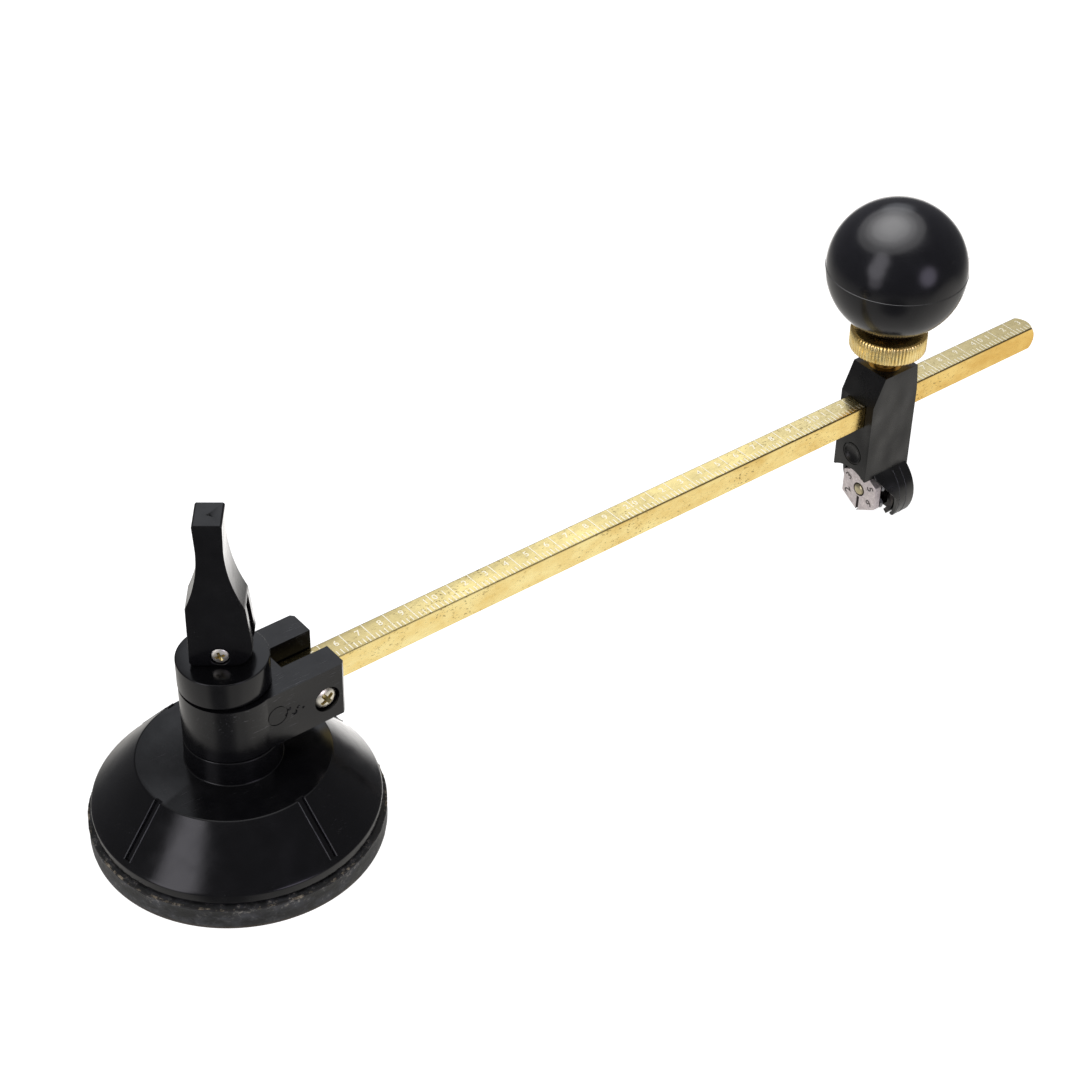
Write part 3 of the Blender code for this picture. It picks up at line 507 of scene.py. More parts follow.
def rounded(outline, radius, steps=4):
    """Rounds each corner of an open outline. Its ends stay as they are."""
    points = []
    last = len(outline) - 1
    for index, point in enumerate(outline):
        if index in (0, last):
            points.append(point)
            continue
        here = Vector(point)
        before = Vector(outline[index - 1]) - here
        after = Vector(outline[index + 1]) - here
        reach = min(radius, before.length * 0.45, after.length * 0.45)
        start = here + before.normalized() * reach
        end = here + after.normalized() * reach
        for step in range(steps + 1):
            part = step / steps
            inner = start.lerp(here, part).lerp(here.lerp(end, part), part)
            points.append((inner.x, inner.y))
    return points


def mm(points):
    """Points in metres, from millimetres."""
    return [(x * MM, y * MM) for x, y in points]


def rectangle(x0, x1, y0, y1):
    return mm([(x0, y0), (x1, y0), (x1, y1), (x0, y1)])


def polygon(sides, radius, first_deg=0.0):
    angles = [math.radians(first_deg) + 2 * math.pi * step / sides for step in range(sides)]
    return [(radius * math.cos(a), radius * math.sin(a)) for a in angles]


def arc(radius, start_deg, end_deg, steps):
    """Points on a circle about the origin."""
    points = []
    for step in range(steps + 1):
        angle = math.radians(start_deg + (end_deg - start_deg) * step / steps)
        points.append((radius * math.cos(angle), radius * math.sin(angle)))
    return points


def along_x(x=0.0, y=0.0, z=0.0):
    """A frame at a point whose Z runs along +X."""
    return Matrix.Translation((x, y, z)) @ Matrix.Rotation(math.pi / 2, 4, "Y")


def along_minus_y(x, y, z):
    """A frame at a point whose Z runs along -Y."""
    return Matrix.Translation((x, y, z)) @ Matrix.Rotation(math.pi / 2, 4, "X")


def side_view():
    """The frame of an outline drawn as seen from -Y: its x is X, its y is Z."""
    return Matrix(((1, 0, 0, 0), (0, 0, -1, 0), (0, 1, 0, 0), (0, 0, 0, 1)))


def head_frame(height=0.0):
    """The axis of the cap and lever, a little off the base's."""
    return Matrix.Translation((HEAD_SHIFT * math.cos(LEVER_TURN), HEAD_SHIFT * math.sin(LEVER_TURN), height))


def lever_profile():
    """The lever's side view, from its pivot."""
    return head_frame(PIVOT_Z) @ Matrix.Rotation(LEVER_TURN, 4, "Z") @ side_view()


def finished(obj, body, slot, *nodes):
    """Puts a piece on its body and hides the CAD nodes that it stands for. Its slot is not used."""
    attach(obj, body)
    if nodes:
        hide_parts(*nodes)


def text_mesh(text, size, thick, matrix, weight=0.022):
    """A bmesh of text in Blender's own font, centred, from -thick to +thick. Weight fattens its strokes."""
    curve = bpy.data.curves.new("text", "FONT")
    curve.body = text
    curve.size = size
    curve.extrude = thick
    curve.offset = size * weight
    curve.align_x = "CENTER"
    curve.align_y = "CENTER"
    curve.resolution_u = 3
    holder = bpy.data.objects.new("text", curve)
    bpy.context.scene.collection.objects.link(holder)
    bpy.context.view_layer.update()
    mesh = settled_mesh(holder)
    bm = bmesh.new()
    bm.from_mesh(mesh)
    bm.transform(matrix)
    bpy.data.objects.remove(holder, do_unlink=True)
    bpy.data.meshes.remove(mesh)
    return bm


def gather(name, parts, look):
    """One object from many bmeshes."""
    mesh = bpy.data.meshes.new(name)
    whole = bmesh.new()
    for part in parts:
        part.to_mesh(mesh)
        whole.from_mesh(mesh)
        part.free()
    whole.normal_update()
    whole.to_mesh(mesh)
    whole.free()
    obj = bpy.data.objects.new(name, mesh)
    bpy.context.scene.collection.objects.link(obj)
    mesh.materials.append(LOOKS[look])
    return obj


# Base ------------------------------


def suction_pad():
    """The rubber pad, its rim uneven, most of all along the seam near its top."""
    outline = mm([
        (0, 0), (26.9, 0), (27.9, 0.15), (28.15, 0.7), (28.1, 3.2), (28.12, 4.3), (28.2, 4.6), (28.05, 4.85),
        (27.4, 5.05), (26.6, 5.3), (24.0, 5.3), (23.2, 4.7), (22.4, 3.0), (11.0, 3.0), (9.5, 4.4), (0, 4.4),
    ])
    obj = turned("rubber_pad", outline, "rubber", 240)
    for vertex in obj.data.vertices:
        radius = math.hypot(vertex.co.x, vertex.co.y)
        if radius < 25 * MM or vertex.co.z < 0.3 * MM:
            continue
        at_seam = 4.2 * MM < vertex.co.z < 5.1 * MM
        wobble = noise.noise(vertex.co * 260) * 0.06 + noise.noise(vertex.co * 900) * 0.05
        inwards = 0.12  # keeps the uneven rim inside the CAD pad
        scale = 1 + (wobble * (1.6 if at_seam else 1.0) - inwards) * MM / radius
        vertex.co.x *= scale
        vertex.co.y *= scale
        if at_seam:
            vertex.co.z += noise.noise(vertex.co * 420) * 0.16 * MM
    finished(obj, "base", "rubber", "suction_pad")
    pad_flash()


def pad_flash():
    """The thin, torn line of flash where the pad's mould halves met."""
    bm = bmesh.new()
    count = 420
    rim = 27.93
    rings = []
    for step in range(count):
        angle = 2 * math.pi * step / count
        along = Vector((math.cos(angle), math.sin(angle), 0))
        rough = noise.noise(along * 23) * 0.7 + noise.noise(along * 71) * 0.5
        edge = rim + 0.10 + 0.30 * rough
        height = 4.83 + 0.14 * noise.noise(along * 12)
        corners = ((rim - 0.25, height + 0.16), (edge, height + 0.05), (edge, height - 0.1),
                   (rim - 0.25, height - 0.3))
        rings.append([bm.verts.new((along * reach + Vector((0, 0, z))) * MM) for reach, z in corners])
    join_rings(bm, rings, closed=True)
    finished(body_from("pad_flash", bm, "flash"), "base", "rubber")


def cone_slope():
    """From the cone's upper edge to its lower, as (radius, height)."""
    return (Vector(CONE_LOW_MM) - Vector(CONE_HIGH_MM)) * MM


def channel_frame(number):
    """A channel's frame: x runs down the cone from its upper edge, and z out of it."""
    slope = cone_slope()
    turn = Matrix.Rotation(math.radians(9.0 + 360.0 / CHANNELS * number), 4, "Z")
    radius, height = CONE_HIGH_MM
    start = Matrix.Translation((radius * MM, 0, height * MM))
    return turn @ (start @ Matrix.Rotation(math.atan2(-slope.y, slope.x), 4, "Y"))


def cup_housing():
    """The cup, hollow underneath, with four channels down its cone and the post that the arm turns on."""
    outside = mm([
        (24.4, 5.6), (27.15, 5.6), (27.25, 5.9), (27.25, 7.6), CONE_LOW_MM, CONE_HIGH_MM,
        (9.15, 17.7), (9.15, 23.1), (6.4, 23.1), (6.4, 35.3), (0, 35.3),
    ])
    inside = mm([(0, 15.3), (16.6, 15.3), (24.4, 8.0)])
    obj = turned("cup_shell", rounded(outside, 0.22 * MM) + inside, "black", 288)
    for number in range(CHANNELS):
        outline = rectangle(-2.0, cone_slope().length / MM - 0.7, -0.75, 0.75)
        carve(obj, prism("groove", outline, -0.45 * MM, 3 * MM, "black", channel_frame(number)))
    spigot = [(0, 16 * MM), (4.7 * MM, 16 * MM), (4.7 * MM, 39 * MM), (0, 39 * MM)]
    carve(obj, turned("spigot", spigot, "black", 48, head_frame()), "UNION")
    bore = [(0, MM), (2.56 * MM, MM), (2.56 * MM, 40 * MM), (0, 40 * MM)]
    carve(obj, turned("bore", bore, "black", 48, head_frame()))
    soften(obj, 0.12, 2, 28)
    finished(obj, "base", "black_plastic", "cup_housing")
    channel_edges()


def channel_edges():
    """The fine raised burrs along both sides of each channel, paler than the cup as a painted highlight."""
    parts = []
    for number in range(CHANNELS):
        for side in (-1, 1):
            edge = along_x(0, side * 0.78 * MM, -0.03 * MM)
            rod = prism_mesh(polygon(10, 0.13 * MM), 0.1 * MM, cone_slope().length - 0.6 * MM, edge)
            rod.transform(channel_frame(number))
            parts.append(rod)
    obj = gather("cup_channel_edges", parts, "edge")
    obj.data.shade_smooth()
    finished(obj, "base", "black_plastic")


def hub_cap():
    """The cap on the post, with the hole that the pull stud comes up through."""
    outline = rounded(mm([
        (4.99, 35.6), (8.45, 35.6), (8.55, 35.8), (8.55, 41.4), (2.6, 41.4), (2.56, 39.3), (4.99, 39.3),
    ]), 0.22 * MM)
    obj = turned("hub_cap_shell", outline, "black", 144, head_frame())
    finished(obj, "base", "black_plastic", "hub_cap")


# Arm and bar ------------------------------


def swivel_arm():
    """The arm: a ring about the post and two jaws that hold the bar, with a moulded ring mark on its side."""
    outline = arc(9.1 * MM, 72, 288, 90) + mm([(19.0, -8.65), (19.65, -8.0), (19.65, 8.0), (19.0, 8.65)])
    obj = prism("swivel_arm_body", outline, 23.4 * MM, 35.3 * MM, "arm")
    bore = [(0, 0), (6.46 * MM, 0), (6.46 * MM, 60 * MM), (0, 60 * MM)]
    carve(obj, turned("bore", bore, "arm", 120))
    carve(obj, prism("slot", rectangle(9.6, 21, -2.85, 2.85), 25.5 * MM, 37 * MM, "arm"))
    place = along_minus_y(ARM_SCREW_X, 0, BAR_MID_Z)
    seat = mm([(0, -9.65), (1.6, -9.65), (1.6, 7.15), (2.6, 7.15), (2.75, 9.65), (0, 9.65)])
    carve(obj, turned("seat", seat, "arm", 64, place))
    recess = polygon(6, 2.9 * MM / math.cos(math.pi / 6), 30)
    carve(obj, prism("recess", recess, -9.65 * MM, -6.45 * MM, "arm", place))
    mark = mm([(1.95, 8.5), (2.15, 8.5), (2.15, 8.8), (1.95, 8.8)])
    carve(obj, turned("mark", mark, "arm", 48, along_minus_y(4.8 * MM, 0, 30.2 * MM)))
    dimples = ((8.4, 29.2, 0.8), (7.3, 30.6, 0.55), (9.2, 30.1, 0.5), (6.6, 29.6, 0.45), (10.3, 29.4, 0.4))
    for x, z, size in dimples:
        dimple = mm([(0, 8.38), (size * 0.45, 8.42), (size, 8.9), (0, 8.9)])
        carve(obj, turned("dimple", dimple, "arm", 14, along_minus_y(x * MM, 0, z * MM)))
    soften(obj, 0.2, 3, 38)
    finished(obj, "arm", "black_plastic", "swivel_arm")


def cross_mesh(radius, depth, matrix):
    """A tapered cross, sunk from z = 0 down."""
    bm = bmesh.new()
    arm = radius * 0.27
    outline = []
    for x, y in ((1, 1), (1, -1), (-1, -1), (-1, 1)):
        corner = [(x * arm, y * radius), (x * arm, y * arm), (x * radius, y * arm)]
        outline += corner if x == y else corner[::-1]
    top = [bm.verts.new((x * 1.15, y * 1.15, 0.4 * MM)) for x, y in outline]
    low = [bm.verts.new((x * 0.4, y * 0.4, -depth)) for x, y in outline]
    bm.faces.new(top)
    bm.faces.new(low[::-1])
    for step in range(len(outline)):
        after = (step + 1) % len(outline)
        bm.faces.new([top[step], low[step], low[after], top[after]])
    bm.transform(matrix)
    return bm


def screw(name, head, height, shank, length, place, turn_deg, body, node, look="plated"):
    """A pan-head screw with a cross recess, given by its radii and lengths. Its head stands on z = 0."""
    dome = [(head * math.cos(a), height * (0.35 + 0.65 * math.sin(a)))
            for a in [math.pi / 2 * step / 10 for step in range(10)]]
    outline = [(0, -length), (shank - 0.2 * MM, -length), (shank, -length + 0.3 * MM), (shank, 0), (head, 0)]
    outline += dome + [(0, height)]
    obj = body_from(name, turned_mesh(outline, 64, place), look, 40)
    tip = place @ Matrix.Translation((0, 0, height)) @ Matrix.Rotation(math.radians(turn_deg), 4, "Z")
    carve(obj, body_from("cross", cross_mesh(head * 0.72, height * 0.8, tip), "recess"))
    soften(obj, 0.05, 2, 40)
    finished(obj, body, "nickel_steel", node)


def graduated_bar():
    """The square brass bar, its far end rounded like a dome."""
    half = BAR_HALF_MM
    square = mm([(-half, 0), (-half, -half), (half, -half), (half, half), (-half, half), (-half, 0)])
    outline = rounded(square, 0.24 * MM, 3)[:-1]
    obj = prism("brass_bar", outline, 9.9 * MM, 212.5 * MM, "brass", along_x(0, 0, BAR_MID_Z))
    radius, end = BAR_DOME_MM * MM, BAR_END_MM * MM
    dome = [(0, 8 * MM), (radius, 8 * MM), (radius, end - radius)]
    dome += [(radius * math.cos(a), end - radius + radius * math.sin(a))
             for a in [math.pi / 2 * step / 24 for step in range(1, 24)]] + [(0, end)]
    carve(obj, turned("dome", dome, "brass", 96, along_x(0, 0, BAR_MID_Z)), "INTERSECT")
    hole = mm([(0, -5), (1.6, -5), (1.6, 5), (0, 5)])
    carve(obj, turned("hole", hole, "brass", 32, along_minus_y(ARM_SCREW_X, 0, BAR_MID_Z)))
    soften(obj, 0.12, 2, 30)
    finished(obj, "arm", "brass", "graduated_bar")
    graduations()


def graduations():
    """The engraved ruler: a long mark and a number for each centimetre of cut diameter, 5 mm of radius apart,
    and a tick for each millimetre. Marks stand a hair proud of the bar's top, so that they show."""
    low, high = BAR_TOP - 0.02 * MM, BAR_TOP + 0.015 * MM
    long_half, shortest = 0.11, 0.3
    parts = []

    def flat_half(x):
        """Half the flat top's width at x, where the rounded end cuts into it."""
        clear = 3.2  # the dome's radius at the top face, less its softened edge
        return math.sqrt(max(0.0, clear ** 2 - max(0.0, x - (BAR_END_MM - BAR_DOME_MM)) ** 2))

    for number in range(5, 44):
        x = 5.0 * number - 4.33
        near = -0.55 if number % 10 else -0.2
        far = min(2.45, flat_half(x + long_half))
        if far > shortest:
            outline = rectangle(x - long_half, x + long_half, max(near, -far), far)
            parts.append(prism_mesh(outline, low, high))
        for tick in range(5):
            at = x + tick
            far = -0.95 + 0.18 * random.uniform(-1, 1) + (0 if tick else 0.25)
            near = -2.4 + 0.15 * random.uniform(-1, 1)
            wide = random.uniform(0.10, 0.15)
            near = max(near, -flat_half(at + wide))
            if far - near > shortest:
                parts.append(prism_mesh(rectangle(at - wide, at + wide, near, far), low, high))
        digits = [(number % 10, -1.75)] if number % 10 else [(number // 10, -1.15), (0, 1.1)]
        for digit, aside in digits:
            place = Matrix.Translation(((x + aside) * MM, 0.75 * MM, BAR_TOP - 0.005 * MM))
            parts.append(text_mesh(str(digit), 2.15 * MM, 0.02 * MM, place, 0.012))
    finished(gather("bar_graduations", parts, "marks"), "arm", "brass")


# Lever ------------------------------


def cam_curve(base, wide, steps=24):
    """The cam's outline, whose reach towards a flat follower grows from base to wide in a quarter turn."""
    growth = (wide - base) / (math.pi / 2)
    points = []
    for step in range(steps + 1):
        turn = math.pi / 2 * step / steps
        reach = base + growth * turn
        points.append((reach * math.sin(turn) + growth * math.cos(turn),
                       -reach * math.cos(turn) + growth * math.sin(turn)))
    return points


def lever_side(sign, steps=24):
    """One side of the lever's handle from its shoulder to its top, leaning back a little."""
    shoulder, waist, top = 10.9 * MM, 23.8 * MM, LEVER_TOP
    points = [(sign * 5.3 * MM, shoulder)]
    for step in range(1, steps + 1):
        part = step / steps
        ease = 1 - (1 - part) ** 2.1
        points.append((sign * (5.3 - 2.85 * ease) * MM, shoulder + (waist - shoulder) * part))
    points += [(sign * 2.65 * MM, top - 0.35 * MM), (sign * 2.35 * MM, top)]
    return [(x - 0.4 * MM * z / top, z) for x, z in points]


def cam_lever():
    """The lever: two cheeks about the pull stud, a cam on each, and a small dent in its top."""
    base, thick = 2.0 * MM, 3.4 * MM
    outline = cam_curve(base, 6.0 * MM) + lever_side(1) + lever_side(-1)[::-1]
    outline += [(-5.55 * MM, -base + 0.6 * MM), (-5.15 * MM, -base)]
    obj = prism("cam_lever_body", outline, -thick, thick, "black", lever_profile())
    carve(obj, prism("fork", rectangle(-3.3, 9, -6, 10.5), -1.65 * MM, 1.65 * MM, "black", lever_profile()))
    seat = mm([(0, -3.0), (1.06, -3.0), (1.06, 2.5), (1.8, 2.5), (1.85, 4.4), (0, 4.4)])
    carve(obj, turned("seat", seat, "black", 48, lever_profile()))
    dent = bmesh.new()
    top = LEVER_TOP
    corners = [dent.verts.new((x * MM, top + 0.1 * MM, z * MM))
               for x, z in ((-0.9, 0.5), (0.7, 0.9), (-0.2, -0.7))]
    deep = dent.verts.new((-0.3 * MM, top - 0.25 * MM, 0.3 * MM))
    dent.faces.new(corners)
    for step in range(3):
        dent.faces.new((corners[step], corners[(step + 1) % 3], deep))
    dent.transform(lever_profile())
    carve(obj, body_from("dent", dent, "black"))
    soften(obj, 0.38, 4, 40)
    finished(obj, "lever", "black_plastic", "cam_lever")


# Slider ------------------------------


def slider_block():
    """The block on the bar: a foot about the turret, hollow for it, and a well for the clamp screw."""
    outline = mm([(158.2, 9.9), (171.2, 9.9), (171.2, 31.8), (170.5, 38.2), (161.0, 38.2), (158.2, 31.8)])
    obj = prism("slider_body", outline, -4.85 * MM, 4.85 * MM, "slider", side_view())
    axis = along_x(0, 0, TURRET_Z)
    foot = rounded(mm([(0, 161.0), (8.5, 161.0), (8.5, 170.6), (8.0, 170.95), (0, 170.95)]), 0.3 * MM)
    carve(obj, turned("foot", foot, "slider", 160, axis), "UNION")
    flank = mm([(153, 12.2), (160.8, 12.2), (165.2, 6.8), (166.0, 1.0), (166.0, -6), (153, -6)])
    carve(obj, prism("flank", flank, -12 * MM, 12 * MM, "slider", side_view()))
    pocket = mm([(0, 153), (7.7, 153), (7.7, 167.2), (0, 167.2)])
    carve(obj, turned("pocket", pocket, "slider", 160, axis))
    carve(obj, prism("underside", rectangle(150, 180, -12, 12), -6 * MM, 1.2 * MM, "slider"))
    way = rectangle(-2.8, 2.8, -2.8, 2.8)
    carve(obj, prism("way", way, 150 * MM, 180 * MM, "slider", along_x(0, 0, BAR_MID_Z)))
    well = mm([(0, 28), (2.6, 28), (2.6, 33.3), (3.65, 33.3), (3.65, 50), (0, 50)])
    carve(obj, turned("well", well, "slider", 64, Matrix.Translation((CLAMP_X, 0, 0))))
    carve(obj, turned("pin_way", mm([(0, 150), (1.4, 150), (1.4, 180), (0, 180)]), "slider", 32, axis))
    place = along_x(0, -0.2 * MM, 17.5 * MM)
    mark = mm([(2.45, 157.9), (2.7, 157.9), (2.7, 158.5), (2.45, 158.5)])
    carve(obj, turned("mark", mark, "slider", 64, place))
    dish = mm([(0, 157.9), (2.25, 157.9), (2.3, 158.2), (2.0, 158.5), (1.4, 158.78), (0.7, 158.93),
               (0, 158.98)])
    carve(obj, turned("dish", dish, "slider", 48, place))
    for side in (-1, 1):
        tip = rounded(mm([(0, 166.1), (0.46, 166.1), (0.46, 170.75), (0, 170.75)]), 0.2 * MM)
        carve(obj, turned("tip", tip, "slider", 24, along_x(0, side * 6.58 * MM, 1.32 * MM)), "UNION")
    soften(obj, 0.4, 4, 38)
    finished(obj, "slider", "slider_plastic", "slider_block")
    # The mould lines take the paler edge look: a painted highlight along them.
    parts = [arc_rod(x, radius=8.47, low_deg=-34, high_deg=52, thick=0.09) for x in (166.2, 168.2)]
    finished(gather("slider_mould_lines", parts, "edge"), "slider", "slider_plastic")


def arc_rod(x, radius, low_deg, high_deg, thick):
    """A bmesh of a thin rod bent about the turret's axis, on the -Y side of the foot. Sizes are in mm."""
    bm = bmesh.new()
    rings = []
    for y, z in arc(radius, 180 - high_deg, 180 - low_deg, 40):
        out = Vector((0, y, z)).normalized()
        centre = Vector((x, y, z + TURRET_Z / MM))
        ring = []
        for across, along in polygon(8, thick):
            ring.append(bm.verts.new((centre + out * across + Vector((1, 0, 0)) * along) * MM))
        rings.append(ring)
    join_rings(bm, rings)
    bm.faces.new(rings[0])
    bm.faces.new(rings[-1])
    bmesh.ops.recalc_face_normals(bm, faces=bm.faces)
    for face in bm.faces:
        face.smooth = True
    return bm


def knurled_ring():
    """The clamp screw: its ring carries a coarse straight knurl whose teeth vary a little."""
    teeth, each = 66, 6
    count = teeth * each
    depths = [0.13 + 0.15 * random.random() for _ in range(teeth)]
    leans = [random.uniform(-0.25, 0.25) for _ in range(teeth)]

    def radius(step, full):
        tooth, part = divmod(step, each)
        wave = max(0.0, math.sin(math.pi * (part + 0.5) / each)) ** 0.55
        return full - depths[tooth] * MM * (1 - wave)

    bm = bmesh.new()
    profile = [(2.1, 43.2), (2.1, 47.2), (7.55, 47.2), (8.0, 46.85), (8.25, 46.5), (8.25, 42.95),
               (8.0, 42.55), (7.5, 42.3), (2.42, 42.3)]
    rings = []
    for r, z in profile:
        ring = []
        for step in range(count):
            reach = r * MM
            if r > 8.1:
                reach = radius(step, r * MM)
            elif r > 7.9:
                reach = radius(step, (r + 0.05) * MM)
            angle = 2 * math.pi * step / count + leans[step // each] * 0.02 * (z - 44.7) / 2
            ring.append(bm.verts.new((reach * math.cos(angle), reach * math.sin(angle), z * MM)))
        rings.append(ring)
    join_rings(bm, rings)
    bm.faces.new(rings[0])
    bm.faces.new(rings[-1])
    bm.transform(Matrix.Translation((CLAMP_X, 0, 0)))
    obj = body_from("knurled_clamp", bm, "ring", 60)
    finished(obj, "clamp", "brass", "clamp_screw")
    clamp_stem()


def clamp_stem():
    """The clamp screw's stem, with a groove turned in it for each half millimetre of thread."""
    outline = [(0, 32.6), (2.0, 32.6)]
    z = 32.9
    while z < 42.1:
        outline += [(2.38, z + 0.12), (2.38, z + 0.2), (2.08, z + 0.45)]
        z += 0.5
    outline += [(2.2, 42.28), (0, 42.28)]
    # The stem takes the darker stem brass: painted shade under the ring.
    stem = turned("clamp_stem", mm(outline), "stem", 48, Matrix.Translation((CLAMP_X, 0, 0)))
    finished(stem, "clamp", "brass")


def ball_knob():
    """The ball grip, bored from below, with its raised parting line and the nub left by its gate."""
    radius, middle = BALL_RADIUS_MM, BALL_Z_MM
    low, bore = 47.6, 4.15
    outline = [(0, 58.7), (bore, 58.7), (bore, low)]
    start = math.atan2(low - middle, 4.85)
    steps = 150
    for step in range(steps):
        angle = start + (math.pi / 2 - start) * step / steps
        outline.append((radius * math.cos(angle), middle + radius * math.sin(angle)))
    outline.append((0, middle + radius))
    place = Matrix.Translation((CLAMP_X, 0, 0))
    finished(turned("ball_grip", mm(outline), "ball", 192, place), "ball", "black_plastic", "ball_knob")
    line = mm([(14.7, 61.8), (14.86, 61.84), (14.93, 61.9), (14.86, 61.96), (14.7, 62.0)])
    finished(turned("ball_parting_line", line, "ball", 192, place), "ball", "black_plastic")
    nub = turned_mesh(mm([(0, -0.3), (0.35, -0.24), (0.5, 0), (0.35, 0.24), (0, 0.3)]), 16)
    nub.transform(Matrix.Translation((CLAMP_X + 12.19 * MM, -8.12 * MM, (BALL_Z_MM + 1.66) * MM)))
    finished(body_from("ball_gate_nub", nub, "ball"), "ball", "black_plastic")


# Turret ------------------------------


def wheel_centre(number, orbit=4.35):
    """The Y and Z of a point on a wheel station's radius. Station 0 hangs straight down, at the glass."""
    angle = math.radians(180.0 - number * 60.0)
    return orbit * MM * math.sin(angle), TURRET_Z + orbit * MM * math.cos(angle)


def turret():
    """The cast hexagon: a groove at station 0, digits at the others, holes for the wheels, and its pin."""
    axis = along_x(0, 0, TURRET_Z)
    face, back = 162.0, 163.7
    obj = prism("turret_casting", polygon(6, 5.7 * MM), face * MM, back * MM, "zinc", axis)
    core = mm([(0, 162.5), (2.5, 162.5), (2.5, 165.0), (0, 165.0)])
    carve(obj, turned("core", core, "zinc", 48, axis), "UNION")
    bore = mm([(0, 160), (1.62, 160), (1.62, 162.3), (1.4, 162.6), (1.4, 168), (0, 168)])
    # The bore and the groove take the dark digits look: painted shade in these hollows.
    carve(obj, turned("bore", bore, "digits", 48, axis))
    place = Matrix.Translation((face * MM, 0, TURRET_Z)) @ station_frame()
    carve(obj, prism("groove", rectangle(-0.35, 0.35, -5.6, -1.9), -0.6 * MM, 0.3 * MM, "digits", place))
    for number in range(6):
        y, z = wheel_centre(number)
        hole = mm([(0, back - 0.9), (0.55, back - 0.9), (0.55, back + 1), (0, back + 1)])
        carve(obj, turned("hole", hole, "zinc", 16, along_x(0, y, z)))
    soften(obj, 0.22, 3, 38)
    finished(obj, "turret", "cast_zinc", "turret_body")
    # The digits are dark inlays a hair proud of the face: their dark is painted shade of stamped hollows.
    parts = []
    for number in range(1, 6):
        y, z = wheel_centre(number, 3.75)
        tilt = Matrix.Rotation(math.radians(180.0 - 60.0 * number), 4, "Z")
        place = Matrix.Translation(((face + 0.02) * MM, y, z)) @ station_frame() @ tilt
        parts.append(text_mesh(str(number + 1), 2.5 * MM, 0.05 * MM, place))
    finished(gather("turret_digits", parts, "digits"), "turret", "cast_zinc")
    pin = mm([(0, 161.62), (0.7, 161.66), (1.1, 161.78), (1.3, 162.0), (1.34, 162.2), (1.34, 171.2),
              (2.3, 171.3), (2.4, 171.5), (2.4, 172.0), (2.1, 172.3), (0, 172.3)])
    finished(turned("turret_rivet", pin, "rivet", 48, axis), "slider", "rivet_brass", "turret_pin")


def station_frame():
    """Axes for what is stamped on the turret's face: x towards -Y, y up, z out of it towards the hub."""
    return Matrix(((0, 0, -1, 0), (-1, 0, 0, 0), (0, 1, 0, 0), (0, 0, 0, 1)))


# Studio ------------------------------


def direction(azimuth_deg, elevation_deg):
    """Unit vector at an angle from +X towards +Y, and above the horizon."""
    a, e = math.radians(azimuth_deg), math.radians(elevation_deg)
    return Vector((math.cos(a) * math.cos(e), math.sin(a) * math.cos(e), math.sin(e)))


def area_light(name, shape, width, radiance, colour, aim, back, distance):
    """A soft box that shows the given radiance to what it lights. back points from its aim towards it."""
    light = bpy.data.lights.new(name, "AREA")
    light.shape = shape
    light.size = width
    light.energy = radiance * math.pi * width ** 2 * (math.pi / 4 if shape == "DISK" else 1)
    light.color = colour
    obj = bpy.data.objects.new(name, light)
    obj.location = Vector(aim) + back * distance
    obj.rotation_mode = "QUATERNION"
    obj.rotation_quaternion = back.to_track_quat("Z", "Y")
    bpy.context.scene.collection.objects.link(obj)
    return obj


def world():
    """A pale room, dark below, with patches of light and dark for the faces that mirror them."""
    made = bpy.data.worlds.new("studio")
    bpy.context.scene.world = made
    made.use_nodes = True
    tree = made.node_tree
    back = tree.nodes["Background"]
    where = tree.nodes.new("ShaderNodeTexCoord").outputs["Generated"]

    def near(axis, inner_deg, outer_deg):
        """1 within inner_deg of a direction, falling to 0 at outer_deg."""
        dot = add_node(tree, "VectorMath", i0=where, i1=axis)
        dot.operation = "DOT_PRODUCT"
        low, high = math.cos(math.radians(outer_deg)), math.cos(math.radians(inner_deg))
        ease = add_node(tree, "MapRange", Value=dot.outputs["Value"], From_Min=low, From_Max=high)
        ease.interpolation_type = "SMOOTHSTEP"
        return ease.outputs[0]

    # azimuth and elevation, inner and outer half-angle in degrees, radiance, and what shows it in the photo
    patches = (
        (0, 90, 14, 44, (1.05, 1.05, 1.08)),  # level faces, from above
        (-50, -38, 14, 34, (0.98, 0.95, 0.90)),  # the bar's front
        (42, -26, 7, 25, (2.4, 2.35, 2.3)),  # the cone's glare beside the bar
        (49, 39, 8, 19, (1.36, 1.40, 1.50)),  # level faces
        (-170, 1, 5, 15, (2.0, 1.9, 2.1)),  # the ball's left window and the cone's sheen, in three steps
        (-170, 34, 6, 17, (3.6, 3.5, 3.8)),
        (-172, 18, 8, 18, (3.6, 3.5, 3.8)),
        (-85, 10, 8, 18, (2.9, 2.7, 3.4)),  # the ball's right window
        (-135, -38, 6, 24, (0.15, 0.15, 0.15)),  # upright faces towards the camera
    )
    tone = blend(tree, near(direction(0, -90), 58, 80), (0.18, 0.18, 0.19), (0.74, 0.72, 0.69))
    for azimuth, elevation, inner_deg, outer_deg, radiance in patches:
        tone = blend(tree, near(direction(azimuth, elevation), inner_deg, outer_deg), tone, radiance)
    seen = tree.nodes.new("ShaderNodeLightPath").outputs["Is Camera Ray"]
    tone = blend(tree, seen, tone, (1.0, 1.0, 1.0))  # white past the floor's edge, in low views
    tree.links.new(tone, back.inputs["Color"])
    back.inputs["Strength"].default_value = 1.0


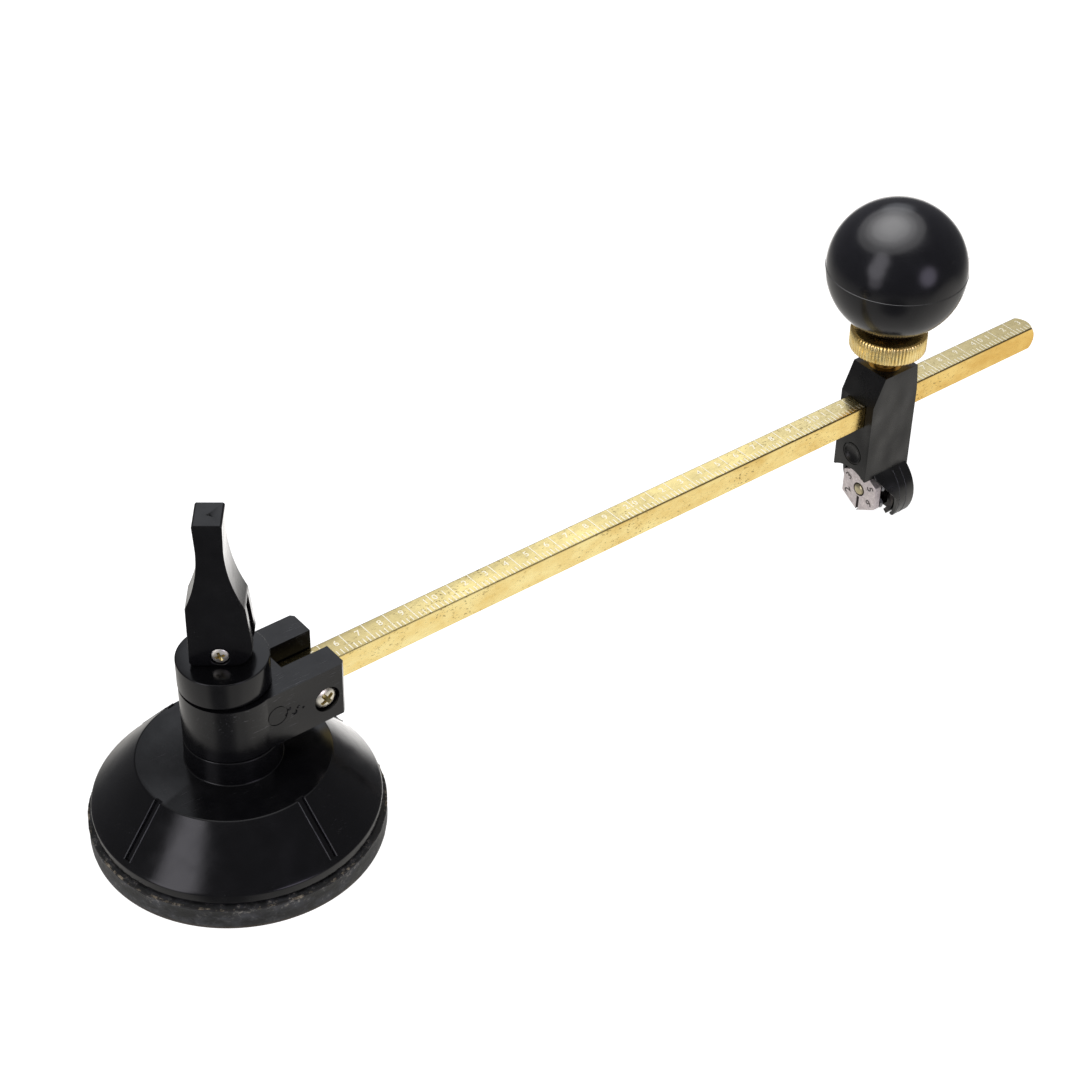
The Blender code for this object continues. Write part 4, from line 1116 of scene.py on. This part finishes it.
def ball_soft_boxes():
    """Round soft boxes high above, one in another, kept for the ball: they'd bleach the bar from above."""
    receivers = bpy.data.collections.new("ball_receivers")
    for name in ("ball_grip", "ball_parting_line", "ball_gate_nub"):
        receivers.objects.link(bpy.data.objects[name])
    distance = 2.0
    for half_deg, radiance in ((16, 7.5), (25, 6.5), (34, 3.6), (46, 1.7)):
        width = 2 * distance * math.tan(math.radians(half_deg))
        box = area_light("ball_soft_box", "DISK", width, radiance, (1.0, 0.99, 1.0),
                         (CLAMP_X, 0, BALL_Z_MM * MM), direction(105.7, 74.1), distance)
        box.light_linking.receiver_collection = receivers


def studio():
    """The world, one soft box overhead and a pale floor that reflections don't show."""
    world()
    area_light("overhead", "SQUARE", 0.4, 0.8, (1.0, 0.99, 0.97), (0.09, 0, 0.03), direction(80, 75), 0.9)
    bm = bmesh.new()
    bmesh.ops.create_grid(bm, x_segments=2, y_segments=2, size=3.0)
    mesh = bpy.data.meshes.new("studio_floor")
    bm.to_mesh(mesh)
    bm.free()
    floor = bpy.data.objects.new("studio_floor", mesh)
    bpy.context.scene.collection.objects.link(floor)
    paint = Paint("pale_floor", 0.9)
    paint.colour(paint.mix(paint.noise(60, 3), (0.34, 0.34, 0.34), (0.36, 0.36, 0.36)))
    paint.shader.inputs["Emission Color"].default_value = (1, 1, 1, 1)
    paint.shader.inputs["Emission Strength"].default_value = 0.98
    mesh.materials.append(paint.material)
    floor.visible_glossy = False


def camera():
    """The camera fitted to the photograph: where it looks, from where, its roll and its lens."""
    azimuth, elevation, roll = (math.radians(angle) for angle in (-38.751, 37.932, 1.150))
    target = Vector((93.928, 27.648, 6.258)) * MM
    distance = 517.794 * MM
    data = bpy.data.cameras.new("camera")
    data.sensor_width = 36.0
    data.lens = 80.416
    data.clip_start, data.clip_end = 0.01, 20.0
    obj = bpy.data.objects.new("camera", data)
    bpy.context.scene.collection.objects.link(obj)
    level = math.cos(elevation)
    forward = Vector((-math.sin(azimuth) * level, math.cos(azimuth) * level, -math.sin(elevation)))
    right = Vector((math.cos(azimuth), math.sin(azimuth), 0))
    up = right.cross(forward)
    across = right * math.cos(roll) + up * math.sin(roll)
    above = up * math.cos(roll) - right * math.sin(roll)
    turn = Matrix((across, above, -forward)).transposed().to_4x4()
    obj.matrix_world = Matrix.Translation(target - forward * distance) @ turn
    bpy.context.scene.camera = obj
    view = bpy.context.scene.view_settings
    view.view_transform = "Standard"
    view.look = "None"


camera()
studio()
dress_carried_nodes()
suction_pad()
cup_housing()
hub_cap()
swivel_arm()
screw("arm_screw_head", head=2.4 * MM, height=1.45 * MM, shank=1.5 * MM, length=15.7 * MM,
      place=along_minus_y(ARM_SCREW_X, -7.2 * MM, BAR_MID_Z), turn_deg=35, body="arm", node="arm_screw")
graduated_bar()
cam_lever()
screw("lever_screw_head", head=1.66 * MM, height=0.8 * MM, shank=1.0 * MM, length=5.3 * MM,
      place=lever_profile() @ Matrix.Translation((0, 0, 2.55 * MM)), turn_deg=20, body="lever",
      node="lever_screw", look="bright")
slider_block()
knurled_ring()
ball_knob()
ball_soft_boxes()
turret()
